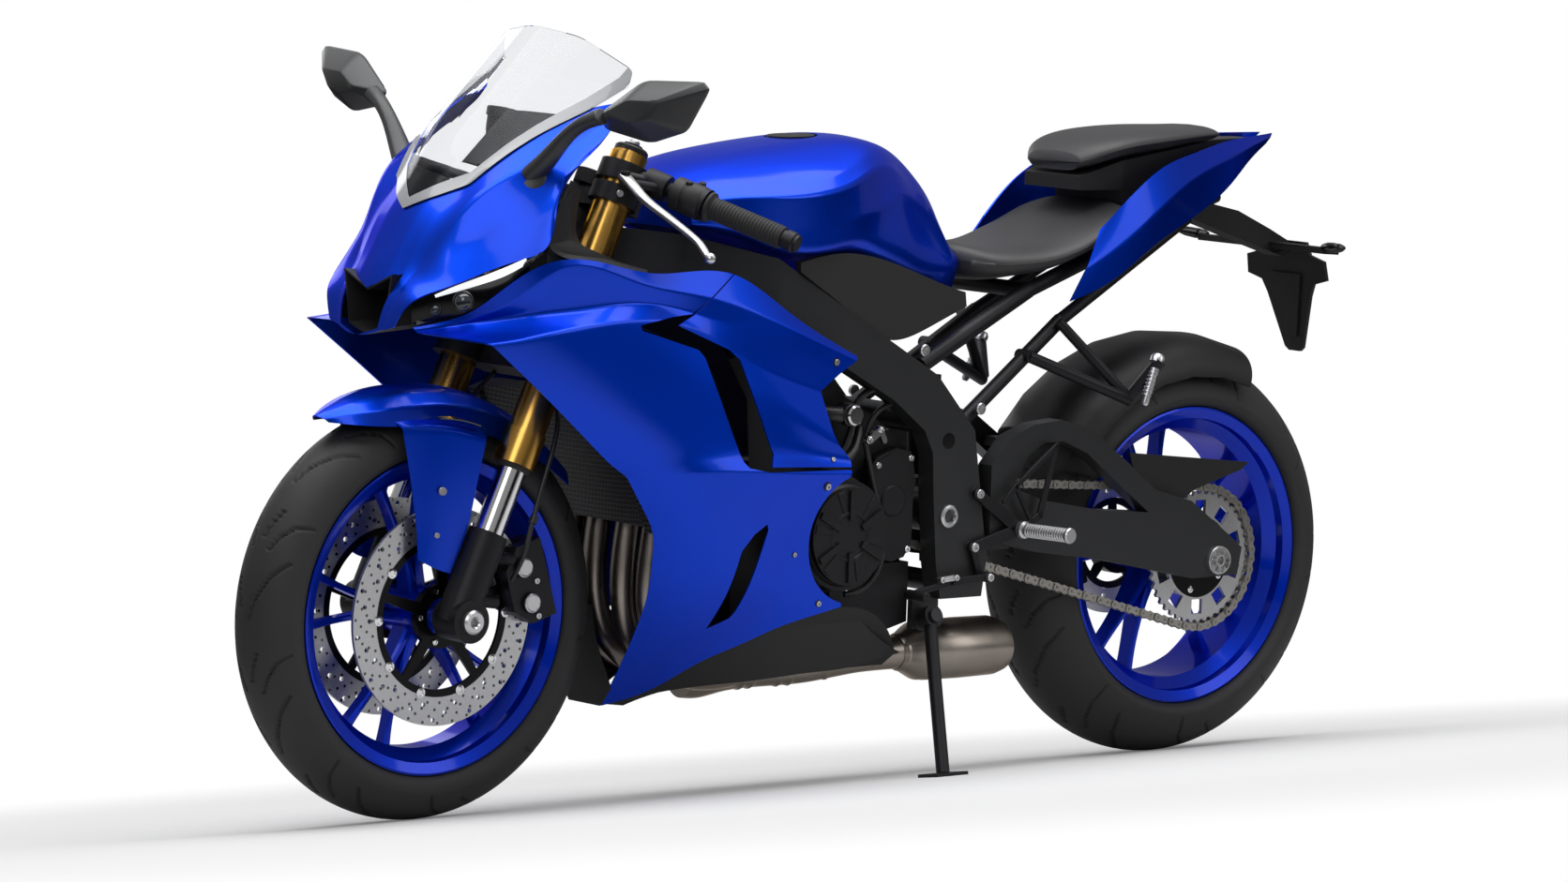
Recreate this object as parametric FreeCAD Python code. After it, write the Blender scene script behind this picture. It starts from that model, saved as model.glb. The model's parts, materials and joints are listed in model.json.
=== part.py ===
"""Sport bike standing on its side stand, in millimetres.

The bike is drawn upright: +X forward, +Y to the rider's left, +Z up, with the ground at z = 0 and
x = 0 midway between the axles. At the end every piece is leaned to the left onto the side stand and
moved so that the origin is the middle of the whole object's footprint.
"""
import FreeCAD, Part
import math
import os

V = FreeCAD.Vector

# Wheels and stance
WHEELBASE = 1440.0
FRONT_RADIUS = 300.0
REAR_RADIUS = 315.0
FRONT_WIDTH = 120.0
REAR_WIDTH = 182.0
FRONT_CROWN = 62.0
REAR_CROWN = 95.0
BEAD_SEAT = 218.5
FLANGE_RADIUS = 230.0
FLANGE_THICK = 7.0
FRONT_RIM_HALF = 52.0
REAR_RIM_HALF = 79.0
RIM_WALL = 6.0
TYRE_FACETS = 48
LEAN_DEG = 9.0

# Axles, hubs and brakes
AXLE_RADIUS = 12.0
AXLE_BORE = 6.5
RUNNING_GAP = 0.05
HUB_RADIUS = 34.0
FRONT_HUB_HALF = 54.0
REAR_HUB_HALF = 72.0
DISC_RADIUS = 157.0
DISC_INNER = 116.0
DISC_THICK = 5.0
DISC_Y = 63.0
PAD_GAP = 1.5
REAR_DISC_RADIUS = 110.0
REAR_DISC_INNER = 72.0
REAR_DISC_Y = 92.0
SEAT_GAP = 0.3

# Steering and fork
RAKE_DEG = 24.0
LEG_FORWARD = 6.0
CLAMP_OFFSET = 28.0
LEG_Y = 105.0
GOLD_RADIUS = 27.0
CHROME_RADIUS = 21.5
BOTTOM_RADIUS = 29.0
STEM_RADIUS = 14.0
HEAD_RADIUS = 33.0
HEAD_BORE = 24.0

# Final drive
CHAIN_PITCH = 15.875
SPROCKET_TEETH = 43
DRIVE_TEETH = 16
CHAIN_Y = 104.0
ROLLER_RADIUS = 5.1
PLATE_HEIGHT = 14.0
CHAIN_WIDTH = 18.0
CHAIN_SLOT = 9.0
LINK_PROUD = 1.8
SPROCKET_THICK = 6.0
DRIVE_X = -85.0
DRIVE_Z = 420.0
SILENCER_FRONT = -140.0

# Swingarm
ARM_INNER = 118.0
ARM_THICK = 30.0
PIVOT_X = -166.0
PIVOT_Z = 410.0
PIVOT_RADIUS = 12.0
PLATE_OUTER = 150.0
PLATE_INNER = 116.0

# Engine
ENGINE_HALF = 112.0

# Side stand
STAND_X = -134.0
STAND_Y = 146.0
STAND_Z = 259.0
STAND_TILT_DEG = 19.2
STAND_LEG_RADIUS = 10.0
STAND_PIN_RADIUS = 6.0
STAND_EYE_HALF = 11.0
STAND_SIDE_GAP = 1.0
FOOT_LENGTH = 62.0
FOOT_WIDTH = 42.0
FOOT_THICK = 5.0

# Rear frame and seats
SUBFRAME_END = (-760.0, 872.0)
PILLION_DECK = ((-482.0, 905.0), (-556.0, 929.0), (-680.0, 944.0), (-790.0, 956.0))

# Body shells
RADIATOR_HALF = 172.0
PANEL = 3.0
SCREEN = 2.5
PAD_THICK = 12.0
LAMP_LAP = 4.0
STAY_CUT = 10.0
BELLY_MOUNT_END = 172.0
MIRROR_SWEEP = 0.163
MIRROR_FOOT_DEPTH = 20.0
COVER_CENTRE = (65.0, 395.0)

FRONT_X = WHEELBASE / 2
REAR_X = -WHEELBASE / 2
RAKE = math.radians(RAKE_DEG)
LEAN = math.radians(LEAN_DEG)


# Helpers that name the ways in which the pieces are formed

def move(shape, x=0.0, y=0.0, z=0.0):
    """A copy of the shape shifted by x, y, z."""
    copy = shape.copy()
    copy.translate(V(x, y, z))
    return copy


def mirrored(shape):
    """The right-hand twin of a left-hand piece."""
    return shape.mirror(V(0, 0, 0), V(0, 1, 0))


def both(shape):
    """A piece and its right-hand twin as two solids."""
    return Part.makeCompound([shape, mirrored(shape)])


def fuse(shapes):
    """One solid from shapes that overlap or share a face."""
    shapes = list(shapes)
    result = shapes[0].multiFuse(shapes[1:]) if len(shapes) > 1 else shapes[0]
    return result.removeSplitter()


def block(x0, x1, y0, y1, z0, z1):
    """A plain box between two corners."""
    return Part.makeBox(x1 - x0, y1 - y0, z1 - z0, V(x0, y0, z0))


def rod(start, end, radius, bore=0.0):
    """A round bar between two points, with an optional bore."""
    a, b = V(*start), V(*end)
    axis = b - a
    bar = Part.makeCylinder(radius, axis.Length, a, axis)
    if bore > 0:
        bar = bar.cut(Part.makeCylinder(bore, axis.Length + 2, a - axis.normalize(), axis))
    return bar


def cross_rod(x, z, y0, y1, radius, bore=0.0):
    """A round bar across the bike."""
    return rod((x, y0, z), (x, y1, z), radius, bore)


def side_plate(outline, y0, y1, smooth=False):
    """A plate drawn in side view as (x, z) points and extruded across the bike from y0 to y1."""
    points = [V(x, y0, z) for x, z in outline]
    if smooth:
        curve = Part.BSplineCurve()
        curve.interpolate(Points=points, PeriodicFlag=True)
        wire = Part.Wire(curve.toShape())
    else:
        wire = Part.makePolygon(points + points[:1])
    return Part.Face(wire).extrude(V(0, y1 - y0, 0))


def ring_section(points, smooth):
    """A closed cross-section through points, either smooth or with straight sides."""
    points = [V(*p) for p in points]
    if smooth:
        curve = Part.BSplineCurve()
        curve.interpolate(Points=points, PeriodicFlag=True)
        return Part.Wire(curve.toShape())
    return Part.makePolygon(points + points[:1])


def lofted(sections, smooth=False, ruled=False):
    """A solid through closed cross-sections, each with as many points as the others."""
    return Part.makeLoft([ring_section(s, smooth) for s in sections], True, ruled)


def spline(points):
    """A smooth edge through the points, or a straight one between two."""
    if len(points) == 2:
        return Part.makeLine(points[0], points[1])
    curve = Part.BSplineCurve()
    curve.interpolate(Points=points)
    return curve.toShape()


def inward_normals(rows):
    """The unit normal at each point of a net, pointing into the bike on its left side."""
    count, length = len(rows), len(rows[0])
    points = [[V(*p) for p in row] for row in rows]
    normals = []
    for i in range(count):
        line = []
        for j in range(length):
            along = points[i][min(j + 1, length - 1)] - points[i][max(j - 1, 0)]
            down = points[min(i + 1, count - 1)][j] - points[max(i - 1, 0)][j]
            line.append(along.cross(down).normalize())
        normals.append(line)
    return normals


def shell_panel(rows, thick, side=1.0):
    """A bodywork panel whose outer skin is ruled between feature lines.

    Each row is one feature line from front to back, and the rows run from the top down, so that the
    skin's normal points into the bike on its left side. The inner skin is the same net of points
    moved by the thickness along that normal.
    """
    outer = [[V(*p) for p in row] for row in rows]
    count, length = len(outer), len(outer[0])
    inner = [[p + n * (thick * side) for p, n in zip(row, normals)]
             for row, normals in zip(outer, inward_normals(rows))]
    out_lines = [spline(row) for row in outer]
    in_lines = [spline(row) for row in inner]
    faces = []
    for i in range(count - 1):
        faces.append(Part.makeRuledSurface(out_lines[i], out_lines[i + 1], 1))
        faces.append(Part.makeRuledSurface(in_lines[i], in_lines[i + 1], 1))
        for j in (0, length - 1):
            outer_edge = Part.makeLine(outer[i][j], outer[i + 1][j])
            inner_edge = Part.makeLine(inner[i][j], inner[i + 1][j])
            faces.append(Part.makeRuledSurface(outer_edge, inner_edge, 1))
    for i in (0, count - 1):
        faces.append(Part.makeRuledSurface(out_lines[i], in_lines[i], 1))
    shell = Part.makeShell(faces)
    shell.sewShape()
    solid = Part.makeSolid(shell)
    if solid.Volume < 0:
        solid.reverse()
    return solid


def across(half):
    """A whole row from its left half, which starts on the centre line."""
    left = [(x, y, z) for x, y, z in reversed(half[1:])]
    right = [(x, -y, z) for x, y, z in half[1:]]
    return left + [half[0]] + right


def bent_tube(points, radius, bend):
    """A tube of straight runs joined by tangent arcs of one bend radius."""
    points = [V(*p) for p in points]
    edges = []
    start = points[0]
    for before, corner, after in zip(points, points[1:], points[2:]):
        into = (corner - before).normalize()
        away = (after - corner).normalize()
        turn = into.getAngle(away)
        trim = bend * math.tan(turn / 2)
        first = corner - into * trim
        last = corner + away * trim
        inward = (away - into).normalize()
        middle = corner + inward * (bend / math.cos(turn / 2) - bend)
        if (first - start).Length > 0.01:
            edges.append(Part.LineSegment(start, first).toShape())
        edges.append(Part.Arc(first, middle, last).toShape())
        start = last
    edges.append(Part.LineSegment(start, points[-1]).toShape())
    path = Part.Wire(edges)
    section = Part.Wire(Part.Circle(points[0], points[1] - points[0], radius).toShape())
    return path.makePipeShell([section], True, False)


def turned(profile, x, z):
    """A solid of revolution about an axle across the bike, from (radius, y) points."""
    points = [V(r, y, 0) for r, y in profile]
    face = Part.Face(Part.makePolygon(points + points[:1]))
    solid = face.revolve(V(0, 0, 0), V(0, 1, 0), 360)
    return move(solid, x, 0, z)


def around(shape, x, z, degrees):
    """A copy turned about an axle across the bike."""
    copy = shape.copy()
    copy.rotate(V(x, 0, z), V(0, 1, 0), degrees)
    return copy


def arc_points(radius, start_deg, end_deg, count):
    """Points on an arc as (along, up), angles from +X towards +Z."""
    step = (end_deg - start_deg) / (count - 1)
    angles = [math.radians(start_deg + i * step) for i in range(count)]
    return [(radius * math.cos(a), radius * math.sin(a)) for a in angles]


# The side stand's pivot and the way its leg points when it is down

STAND_AXIS = V(0, math.cos(math.radians(STAND_TILT_DEG)), math.sin(math.radians(STAND_TILT_DEG)))
STAND_PIVOT = V(STAND_X, STAND_Y, STAND_Z)
STAND_DOWN = V(0.25, 0.45, -0.86).normalize()


def stand_point(s):
    """A point s along the stand's hinge axis from the middle of its eye."""
    return tuple(STAND_PIVOT + STAND_AXIS * s)


# Places on the fork, measured along the leg up from the axle's height

LEG_UP = V(-math.sin(RAKE), 0, math.cos(RAKE))
LEG_AHEAD = V(math.cos(RAKE), 0, math.sin(RAKE))
LEG_ROOT = V(FRONT_X + LEG_FORWARD, 0, FRONT_RADIUS)
STEER_POINT = LEG_ROOT - LEG_AHEAD * CLAMP_OFFSET
STEER_AXIS = LEG_UP


def on_leg(s, y=0.0, ahead=0.0):
    """A point s up the leg, y across and a distance ahead of its centre line."""
    p = LEG_ROOT + LEG_UP * s + LEG_AHEAD * ahead
    return (p.x, y, p.z)


# Wheels

def facet_ring(profile, x, z, count):
    """A ring of flat facets about an axle across the bike, from (radius, y) points.

    The middle of each facet lies on the profile's radius, and one facet faces straight down.
    """
    step = 2 * math.pi / count
    grow = 1 / math.cos(step / 2)
    rings = []
    for i in range(count):
        a = (i + 0.5) * step
        rings.append([V(x + r * grow * math.cos(a), y, z + r * grow * math.sin(a)) for r, y in profile])
    faces = []
    for ring, after in zip(rings, rings[1:] + rings[:1]):
        for j in range(len(profile)):
            k = (j + 1) % len(profile)
            corners = [ring[j], ring[k], after[k], after[j], ring[j]]
            faces.append(Part.Face(Part.makePolygon(corners)))
    solid = Part.makeSolid(Part.makeShell(faces))
    if solid.Volume < 0:
        solid.reverse()
    return solid


def tyre(radius, crown, rim_half, x, z):
    """A solid tyre: round crown, bulged sidewall, beads seated on the rim between its flanges."""
    edge_angle = 74.0
    steps = 9
    crown_centre = radius - crown
    profile = []
    for i in range(steps):
        a = math.radians(edge_angle - 2 * edge_angle * i / (steps - 1))
        profile.append((crown_centre + crown * math.cos(a), crown * math.sin(a)))
    bead = rim_half - FLANGE_THICK
    wide = profile[0][1]
    bulge = (FLANGE_RADIUS + 13, wide - 0.5)
    lower = (FLANGE_RADIUS + 2, (wide + bead) / 2)
    left = [(BEAD_SEAT, bead), (FLANGE_RADIUS + 1, bead), lower, bulge]
    right = [(r, -y) for r, y in reversed(left)]
    return facet_ring(left + profile + right, x, z, TYRE_FACETS)


def rim(rim_half, hub_half, x, z, spoke_depth):
    """A cast rim: barrel with flanges and a drop centre, hub, and forked spokes in pairs."""
    seat = rim_half - FLANGE_THICK
    well = seat - 24
    drop = 18.0
    outer = [(FLANGE_RADIUS, rim_half), (FLANGE_RADIUS, seat), (BEAD_SEAT, seat), (BEAD_SEAT, seat - 14),
             (BEAD_SEAT - drop, well)]
    inner = [(FLANGE_RADIUS - 3, rim_half + 1), (BEAD_SEAT - RIM_WALL, seat + 2),
             (BEAD_SEAT - RIM_WALL - 1, seat - 12), (BEAD_SEAT - drop - RIM_WALL, well - 3)]
    right_outer = [(r, -y) for r, y in reversed(outer)]
    right_inner = [(r, -y) for r, y in inner]
    barrel = turned(outer + right_outer + right_inner + list(reversed(inner)), 0, 0)
    hub = cross_rod(0, 0, -hub_half, hub_half, HUB_RADIUS)
    parts = [barrel, hub]
    spoke_end = BEAD_SEAT - drop - RIM_WALL + 3
    for i in range(5):
        for lean in (-1, 1):
            sections = []
            for r, offset, half_w, half_d in ((HUB_RADIUS - 6, 7, 8.5, spoke_depth),
                                              (95, 13, 5.2, spoke_depth * 0.8),
                                              (150, 26, 4.6, spoke_depth * 0.62),
                                              (spoke_end, 40, 7.5, spoke_depth * 0.66)):
                c = lean * offset
                sections.append([(c - half_w, -half_d, r), (c - half_w * 0.5, -half_d - 3, r),
                                 (c + half_w * 0.5, -half_d - 3, r), (c + half_w, -half_d, r),
                                 (c + half_w, half_d, r), (c + half_w * 0.5, half_d + 3, r),
                                 (c - half_w * 0.5, half_d + 3, r), (c - half_w, half_d, r)])
            parts.append(around(lofted(sections), 0, 0, 72 * i + 10))
    wheel = fuse(parts)
    wheel = wheel.cut(cross_rod(0, 0, -hub_half - 1, hub_half + 1, AXLE_RADIUS + RUNNING_GAP))
    return move(wheel, x, 0, z)


def brake_ring(outer, inner, y, x, z, holes):
    """A brake ring with rows of drilled holes."""
    ring = cross_rod(0, 0, y - DISC_THICK / 2, y + DISC_THICK / 2, outer, inner)
    drills = []
    for i in range(holes):
        r = inner + (outer - inner) * (0.3, 0.55, 0.8)[i % 3]
        a = 2 * math.pi * i / holes
        drills.append(cross_rod(r * math.cos(a), r * math.sin(a), y - DISC_THICK, y + DISC_THICK, 3.5))
    return move(ring.cut(Part.makeCompound(drills)), x, 0, z)


def disc_carrier(y, hub_face, x, z, ring_inner, arms):
    """The dark inner star of a disc, with the buttons that hold the ring."""
    inner_side = min(hub_face, y - 2.5)
    star = [cross_rod(0, 0, inner_side, y + 2.5, 46)]
    for i in range(arms):
        arm = lofted([[(-9, y - 2.5, 40), (9, y - 2.5, 40), (9, y + 2.5, 40), (-9, y + 2.5, 40)],
                      [(-6, y - 2.5, ring_inner - 3), (6, y - 2.5, ring_inner - 3),
                       (6, y + 2.5, ring_inner - 3), (-6, y + 2.5, ring_inner - 3)]])
        star.append(around(arm, 0, 0, 360.0 * i / arms))
    rim_band = cross_rod(0, 0, y - 2.5, y + 2.5, ring_inner - SEAT_GAP, ring_inner - 11)
    star.append(rim_band)
    carrier = fuse(star).cut(cross_rod(0, 0, inner_side - 1, y + 4, 27))
    return move(carrier, x, 0, z)


def front_tyre():
    return tyre(FRONT_RADIUS, FRONT_CROWN, FRONT_RIM_HALF, FRONT_X, FRONT_RADIUS)


def rear_tyre():
    return tyre(REAR_RADIUS, REAR_CROWN, REAR_RIM_HALF, REAR_X, REAR_RADIUS)


def front_rim():
    return rim(FRONT_RIM_HALF, FRONT_HUB_HALF, FRONT_X, FRONT_RADIUS, 14)


def rear_rim():
    return rim(REAR_RIM_HALF, REAR_HUB_HALF, REAR_X, REAR_RADIUS, 20)


def front_discs():
    """Floating front discs, each a drilled ring and the carrier inside it."""
    ring = brake_ring(DISC_RADIUS, DISC_INNER, DISC_Y, FRONT_X, FRONT_RADIUS, 42)
    carrier = disc_carrier(DISC_Y, FRONT_HUB_HALF, FRONT_X, FRONT_RADIUS, DISC_INNER, 5)
    return Part.makeCompound([ring, carrier, mirrored(ring), mirrored(carrier)])


def rear_disc():
    """The rear disc and its carrier on the right of the hub."""
    ring = brake_ring(REAR_DISC_RADIUS, REAR_DISC_INNER, REAR_DISC_Y, REAR_X, REAR_RADIUS, 27)
    carrier = disc_carrier(REAR_DISC_Y, REAR_HUB_HALF, REAR_X, REAR_RADIUS, REAR_DISC_INNER, 5)
    return mirrored(Part.makeCompound([ring, carrier]))


def pitch_radius(teeth):
    return CHAIN_PITCH / (2 * math.sin(math.pi / teeth))


def sprocket(teeth, inner_windows):
    """A toothed wheel about the origin whose teeth stand between the chain's rollers."""
    tip = pitch_radius(teeth) - ROLLER_RADIUS - 1.0
    root = tip - 5.0
    outline = []
    for i in range(teeth):
        for share, r in ((-0.32, root), (-0.14, tip), (0.14, tip), (0.32, root)):
            a = 2 * math.pi * (i + share) / teeth
            outline.append((r * math.cos(a), r * math.sin(a)))
    wheel = side_plate(outline, CHAIN_Y - SPROCKET_THICK / 2, CHAIN_Y + SPROCKET_THICK / 2)
    if inner_windows:
        slots = []
        for i in range(10):
            slot = block(-11, 11, CHAIN_Y - 10, CHAIN_Y + 10, 66, tip - 14)
            slots.append(around(slot, 0, 0, 36 * i))
        wheel = wheel.cut(Part.makeCompound(slots))
    return wheel


def rear_sprocket():
    """The wheel sprocket with the dark carrier that bolts it to the hub."""
    spigot = 56.0
    base = REAR_HUB_HALF
    ring = sprocket(SPROCKET_TEETH, True).cut(cross_rod(0, 0, CHAIN_Y - 10, CHAIN_Y + 10, spigot))
    body = fuse([cross_rod(0, 0, base, CHAIN_Y + SPROCKET_THICK / 2, spigot - SEAT_GAP),
                 cross_rod(0, 0, base, CHAIN_Y - SPROCKET_THICK / 2 - SEAT_GAP, spigot + 6)])
    body = body.cut(cross_rod(0, 0, base - 1, CHAIN_Y + 9, 27))
    return move(Part.makeCompound([ring, body]), REAR_X, 0, REAR_RADIUS)


# Front end, which turns with the bars

def fork_tubes():
    """The gold outer tubes, each with a wider collar and a seal round the inner tube at its end."""
    tube = rod(on_leg(238, LEG_Y), on_leg(716, LEG_Y), GOLD_RADIUS, CHROME_RADIUS + 2.5)
    collar = rod(on_leg(236, LEG_Y), on_leg(288, LEG_Y), GOLD_RADIUS + 3, CHROME_RADIUS + 2.5)
    seal = rod(on_leg(236, LEG_Y), on_leg(248, LEG_Y), GOLD_RADIUS, CHROME_RADIUS + RUNNING_GAP)
    cap = rod(on_leg(708, LEG_Y), on_leg(722, LEG_Y), GOLD_RADIUS - 3)
    return both(fuse([tube, collar, seal, cap]))


def fork_inner_tubes():
    """The bright inner tubes, from the castings up into the outer tubes."""
    return both(rod(on_leg(118, LEG_Y), on_leg(330, LEG_Y), CHROME_RADIUS))


def fork_bottoms():
    """Black castings: a socket for the inner tube, the axle clamp, and lugs for the caliper."""
    socket = rod(on_leg(-8, LEG_Y), on_leg(132, LEG_Y), BOTTOM_RADIUS)
    clamp = cross_rod(FRONT_X, FRONT_RADIUS, LEG_Y - 22, LEG_Y + BOTTOM_RADIUS + 1, 31)
    lugs = []
    for s in (34, 100):
        near = on_leg(s, LEG_Y - 4, -10)
        far = on_leg(s + 16, LEG_Y - 14, -66)
        lugs.append(rod(near, far, 9))
    body = fuse([socket, clamp] + lugs)
    body = body.cut(rod(on_leg(118, LEG_Y), on_leg(140, LEG_Y), CHROME_RADIUS + SEAT_GAP / 10))
    body = body.cut(cross_rod(FRONT_X, FRONT_RADIUS, LEG_Y - 30, LEG_Y + 30, AXLE_RADIUS))
    wheel_room = cross_rod(FRONT_X, FRONT_RADIUS, 0, DISC_Y + DISC_THICK / 2 + 9, DISC_RADIUS + 8)
    return both(body.cut(wheel_room))


def front_axle():
    """The hollow axle with a shouldered ring at each end."""
    end = LEG_Y + BOTTOM_RADIUS + 1
    bar = cross_rod(FRONT_X, FRONT_RADIUS, -end, end, AXLE_RADIUS)
    rings = [cross_rod(FRONT_X, FRONT_RADIUS, end, end + 6, 17),
             cross_rod(FRONT_X, FRONT_RADIUS, -end - 6, -end, 17)]
    axle = fuse([bar] + rings)
    return axle.cut(cross_rod(FRONT_X, FRONT_RADIUS, -200, 200, AXLE_BORE))


def front_calipers():
    """Radial four-piston calipers, open in a slot for the disc, with round piston caps."""
    half_slot = DISC_THICK / 2 + PAD_GAP
    body = block(-58, 58, DISC_Y - 27, DISC_Y + 27, DISC_INNER - 8, DISC_RADIUS + 22)
    bevel = [(-59, DISC_INNER - 9), (-30, DISC_INNER - 9), (-59, DISC_INNER + 20)]
    body = body.cut(side_plate(bevel, 0, 120))
    body = body.cut(side_plate([(-x, z) for x, z in bevel], 0, 120))
    slot = block(-70, 70, DISC_Y - half_slot, DISC_Y + half_slot, DISC_INNER - 20, DISC_RADIUS + PAD_GAP)
    inner_room = block(-70, 70, DISC_Y - 40, DISC_Y - 19, DISC_INNER - 20, DISC_RADIUS + 40)
    body = body.cut(slot).cut(inner_room)
    caps = [cross_rod(x, DISC_INNER + 22, DISC_Y + 26, DISC_Y + 31, 15) for x in (-27, 27)]
    caliper = fuse([body] + caps)
    caliper = around(caliper, 0, 0, -90 + 17)
    return both(move(caliper, FRONT_X, 0, FRONT_RADIUS))


def fork_clamps():
    """Upper and lower yokes with the stem that runs in the steering head."""
    parts = []
    for s, thick, reach in ((398, 34, 40), (652, 26, 36)):
        low = s - thick / 2
        sides = []
        for y in (-LEG_Y, LEG_Y):
            sides.append(rod(on_leg(low, y), on_leg(low + thick, y), reach))
        bridge = Part.makeBox(46, 2 * LEG_Y, thick)
        bridge.translate(V(-52, -LEG_Y, 0))
        bridge.rotate(V(0, 0, 0), V(0, 1, 0), -RAKE_DEG)
        base = V(*on_leg(low))
        bridge.translate(base)
        sides.append(bridge)
        parts.extend(sides)
    stem_low = on_leg(381, 0, -CLAMP_OFFSET)
    stem_high = on_leg(690, 0, -CLAMP_OFFSET)
    parts.append(rod(stem_low, stem_high, STEM_RADIUS))
    parts.append(rod(on_leg(673, 0, -CLAMP_OFFSET), on_leg(694, 0, -CLAMP_OFFSET), 22))
    body = fuse(parts)
    for y in (-LEG_Y, LEG_Y):
        body = body.cut(rod(on_leg(300, y), on_leg(760, y), GOLD_RADIUS))
    return body


BAR_START = (448, LEG_Y + 7, 932)
BAR_END = (331, 350, 846)


def bar_point(share):
    """A point on the left bar, from its root at 0 to its tip at 1."""
    return tuple(a + (b - a) * share for a, b in zip(BAR_START, BAR_END))


def handlebars():
    """Clip-on bars on split rings round the fork tubes."""
    ring = rod(on_leg(672, LEG_Y), on_leg(700, LEG_Y), GOLD_RADIUS + 9)
    bar = rod(bar_point(0), bar_point(0.94), 11)
    housing = rod(bar_point(0.30), bar_point(0.49), 24)
    body = fuse([ring, bar, housing])
    return both(body.cut(rod(on_leg(600, LEG_Y), on_leg(760, LEG_Y), GOLD_RADIUS)))


def grips():
    """Rubber grips with flanges, and the weights at the bar ends."""
    body = rod(bar_point(0.5), bar_point(0.94), 16.5, 11)
    flange = rod(bar_point(0.5), bar_point(0.515), 22, 11)
    weight = rod(bar_point(0.941), bar_point(1.03), 14)
    return both(Part.makeCompound([fuse([body, flange]), weight]))


def levers():
    """Clutch and brake levers on their perches, ending in balls."""
    perch = rod(bar_point(0.12), bar_point(0.28), 20, 11)
    pivot = V(*bar_point(0.2)) + V(34, 0, 4)
    root = (pivot.x, pivot.y, pivot.z)
    arm = rod(bar_point(0.2), root, 9)
    blade = lofted([[(root[0] - 6, root[1], root[2] - 5), (root[0] + 6, root[1], root[2] - 5),
                     (root[0] + 6, root[1], root[2] + 5), (root[0] - 6, root[1], root[2] + 5)],
                    [(462, 230, 878), (474, 230, 878), (474, 230, 887), (462, 230, 887)],
                    [(456, 290, 849), (464, 290, 849), (464, 290, 857), (456, 290, 857)],
                    [(462, 326, 824), (469, 326, 824), (469, 326, 831), (462, 326, 831)]])
    ball = Part.makeSphere(8, V(466, 330, 826))
    body = fuse([perch, arm, blade, ball]).cut(rod(bar_point(0), bar_point(1), 11))
    return both(body)


def front_mudguard():
    """The front mudguard, with a side wing ahead of each fork leg."""
    centre = [(905, 588), (860, 610), (802, 624), (745, 628), (690, 624), (620, 604), (545, 562), (486, 512)]
    rows = []
    for y, drop in ((0, 0), (30, 6), (52, 20), (64, 42)):
        rows.append([(x - drop * (x - FRONT_X) / 900, y, z - drop) for x, z in centre])
    rows[3] = [(880, 60, 560), (856, 64, 566), (812, 68, 578), (760, 70, 574), (690, 70, 566),
               (615, 70, 544), (545, 68, 514), (492, 62, 480)]
    whole = [across([rows[k][j] for k in range(4)]) for j in range(8)]
    shell = shell_panel(whole, PANEL, -1.0)
    wing_rows = [[(812, 65, 578), (764, 67, 577), (716, 68, 573), (676, 68, 565)],
                 [(806, 75, 574), (768, 91, 574), (722, 100, 568), (676, 103, 556)],
                 [(792, 78, 500), (762, 92, 500), (726, 99, 496), (692, 101, 490)],
                 [(782, 82, 430), (762, 92, 430), (736, 98, 428), (706, 100, 424)],
                 [(780, 84, 384), (766, 92, 378), (748, 97, 370), (733, 99, 366)]]
    wing = shell_panel(wing_rows, PANEL)
    slot = Part.makePolygon([V(x, y, 540) for x, y in ((746, 76), (688, 75), (684, 95), (716, 92), (746, 76))])
    wing = fuse([wing.cut(Part.Face(slot).extrude(V(0, 0, 60))), block(698, 745, 94, 100, 374, 388)])
    return fuse([shell, wing, mirrored(wing)]).cut(fork_bottoms())


# Frame and rear suspension

def spar_station(top, bottom, y, half):
    return [(top[0], y - half, top[1]), (top[0], y + half, top[1]),
            (bottom[0], y + half, bottom[1]), (bottom[0], y - half, bottom[1])]


def head_point(s):
    p = STEER_POINT + STEER_AXIS * s
    return (p.x, 0, p.z)


def frame_main():
    """Twin-spar frame: steering head, two spars that run down into the pivot plates, cross tubes."""
    stations = [((418, 848), (432, 766), 44, 18), ((330, 838), (344, 742), 96, 17),
                ((186, 803), (178, 700), 134, 17), ((75, 736), (56, 640), 140, 17),
                ((-36, 674), (-42, 588), 138, 17), ((-130, 622), (-108, 540), 134, 17),
                ((-208, 537), (-126, 505), 133, 17), ((-224, 440), (-130, 440), 133, 17),
                ((-240, 340), (-139, 340), 133, 17), ((-232, 286), (-150, 286), 133, 17)]
    spar = lofted([spar_station(*s) for s in stations], ruled=True)
    head = rod(head_point(428), head_point(632), HEAD_RADIUS)
    neck = lofted([[(470, -20, 756), (470, 20, 756), (436, 20, 852), (436, -20, 852)],
                   [(425, -60, 764), (425, 60, 764), (410, 60, 846), (410, -60, 846)]], ruled=True)
    tubes = [cross_rod(-176, 545, -120, 120, 20), cross_rod(-180, 306, -120, 120, 16),
             cross_rod(PIVOT_X, PIVOT_Z, -112.5, 112.5, PIVOT_RADIUS)]
    ear = block(-168, -116, PLATE_INNER, PLATE_INNER + 10, 240, 296)
    seat = STAND_EYE_HALF + STAND_SIDE_GAP
    boss = rod(stand_point(-24), stand_point(-seat), 15)
    pin = rod(stand_point(-20), stand_point(seat + 4), STAND_PIN_RADIUS)
    pin_head = rod(stand_point(seat), stand_point(seat + 4), 10)
    shock_lug = side_plate([(-170, 562), (-236, 606), (-258, 606), (-258, 586), (-228, 574), (-186, 548)],
                           -14, 14)
    body = fuse([spar, mirrored(spar), head, neck, ear, boss, pin, pin_head, shock_lug] + tubes)
    body = body.cut(rod(head_point(442), head_point(618), HEAD_BORE))
    return body.cut(rod(head_point(420), head_point(640), STEM_RADIUS + RUNNING_GAP))


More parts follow.
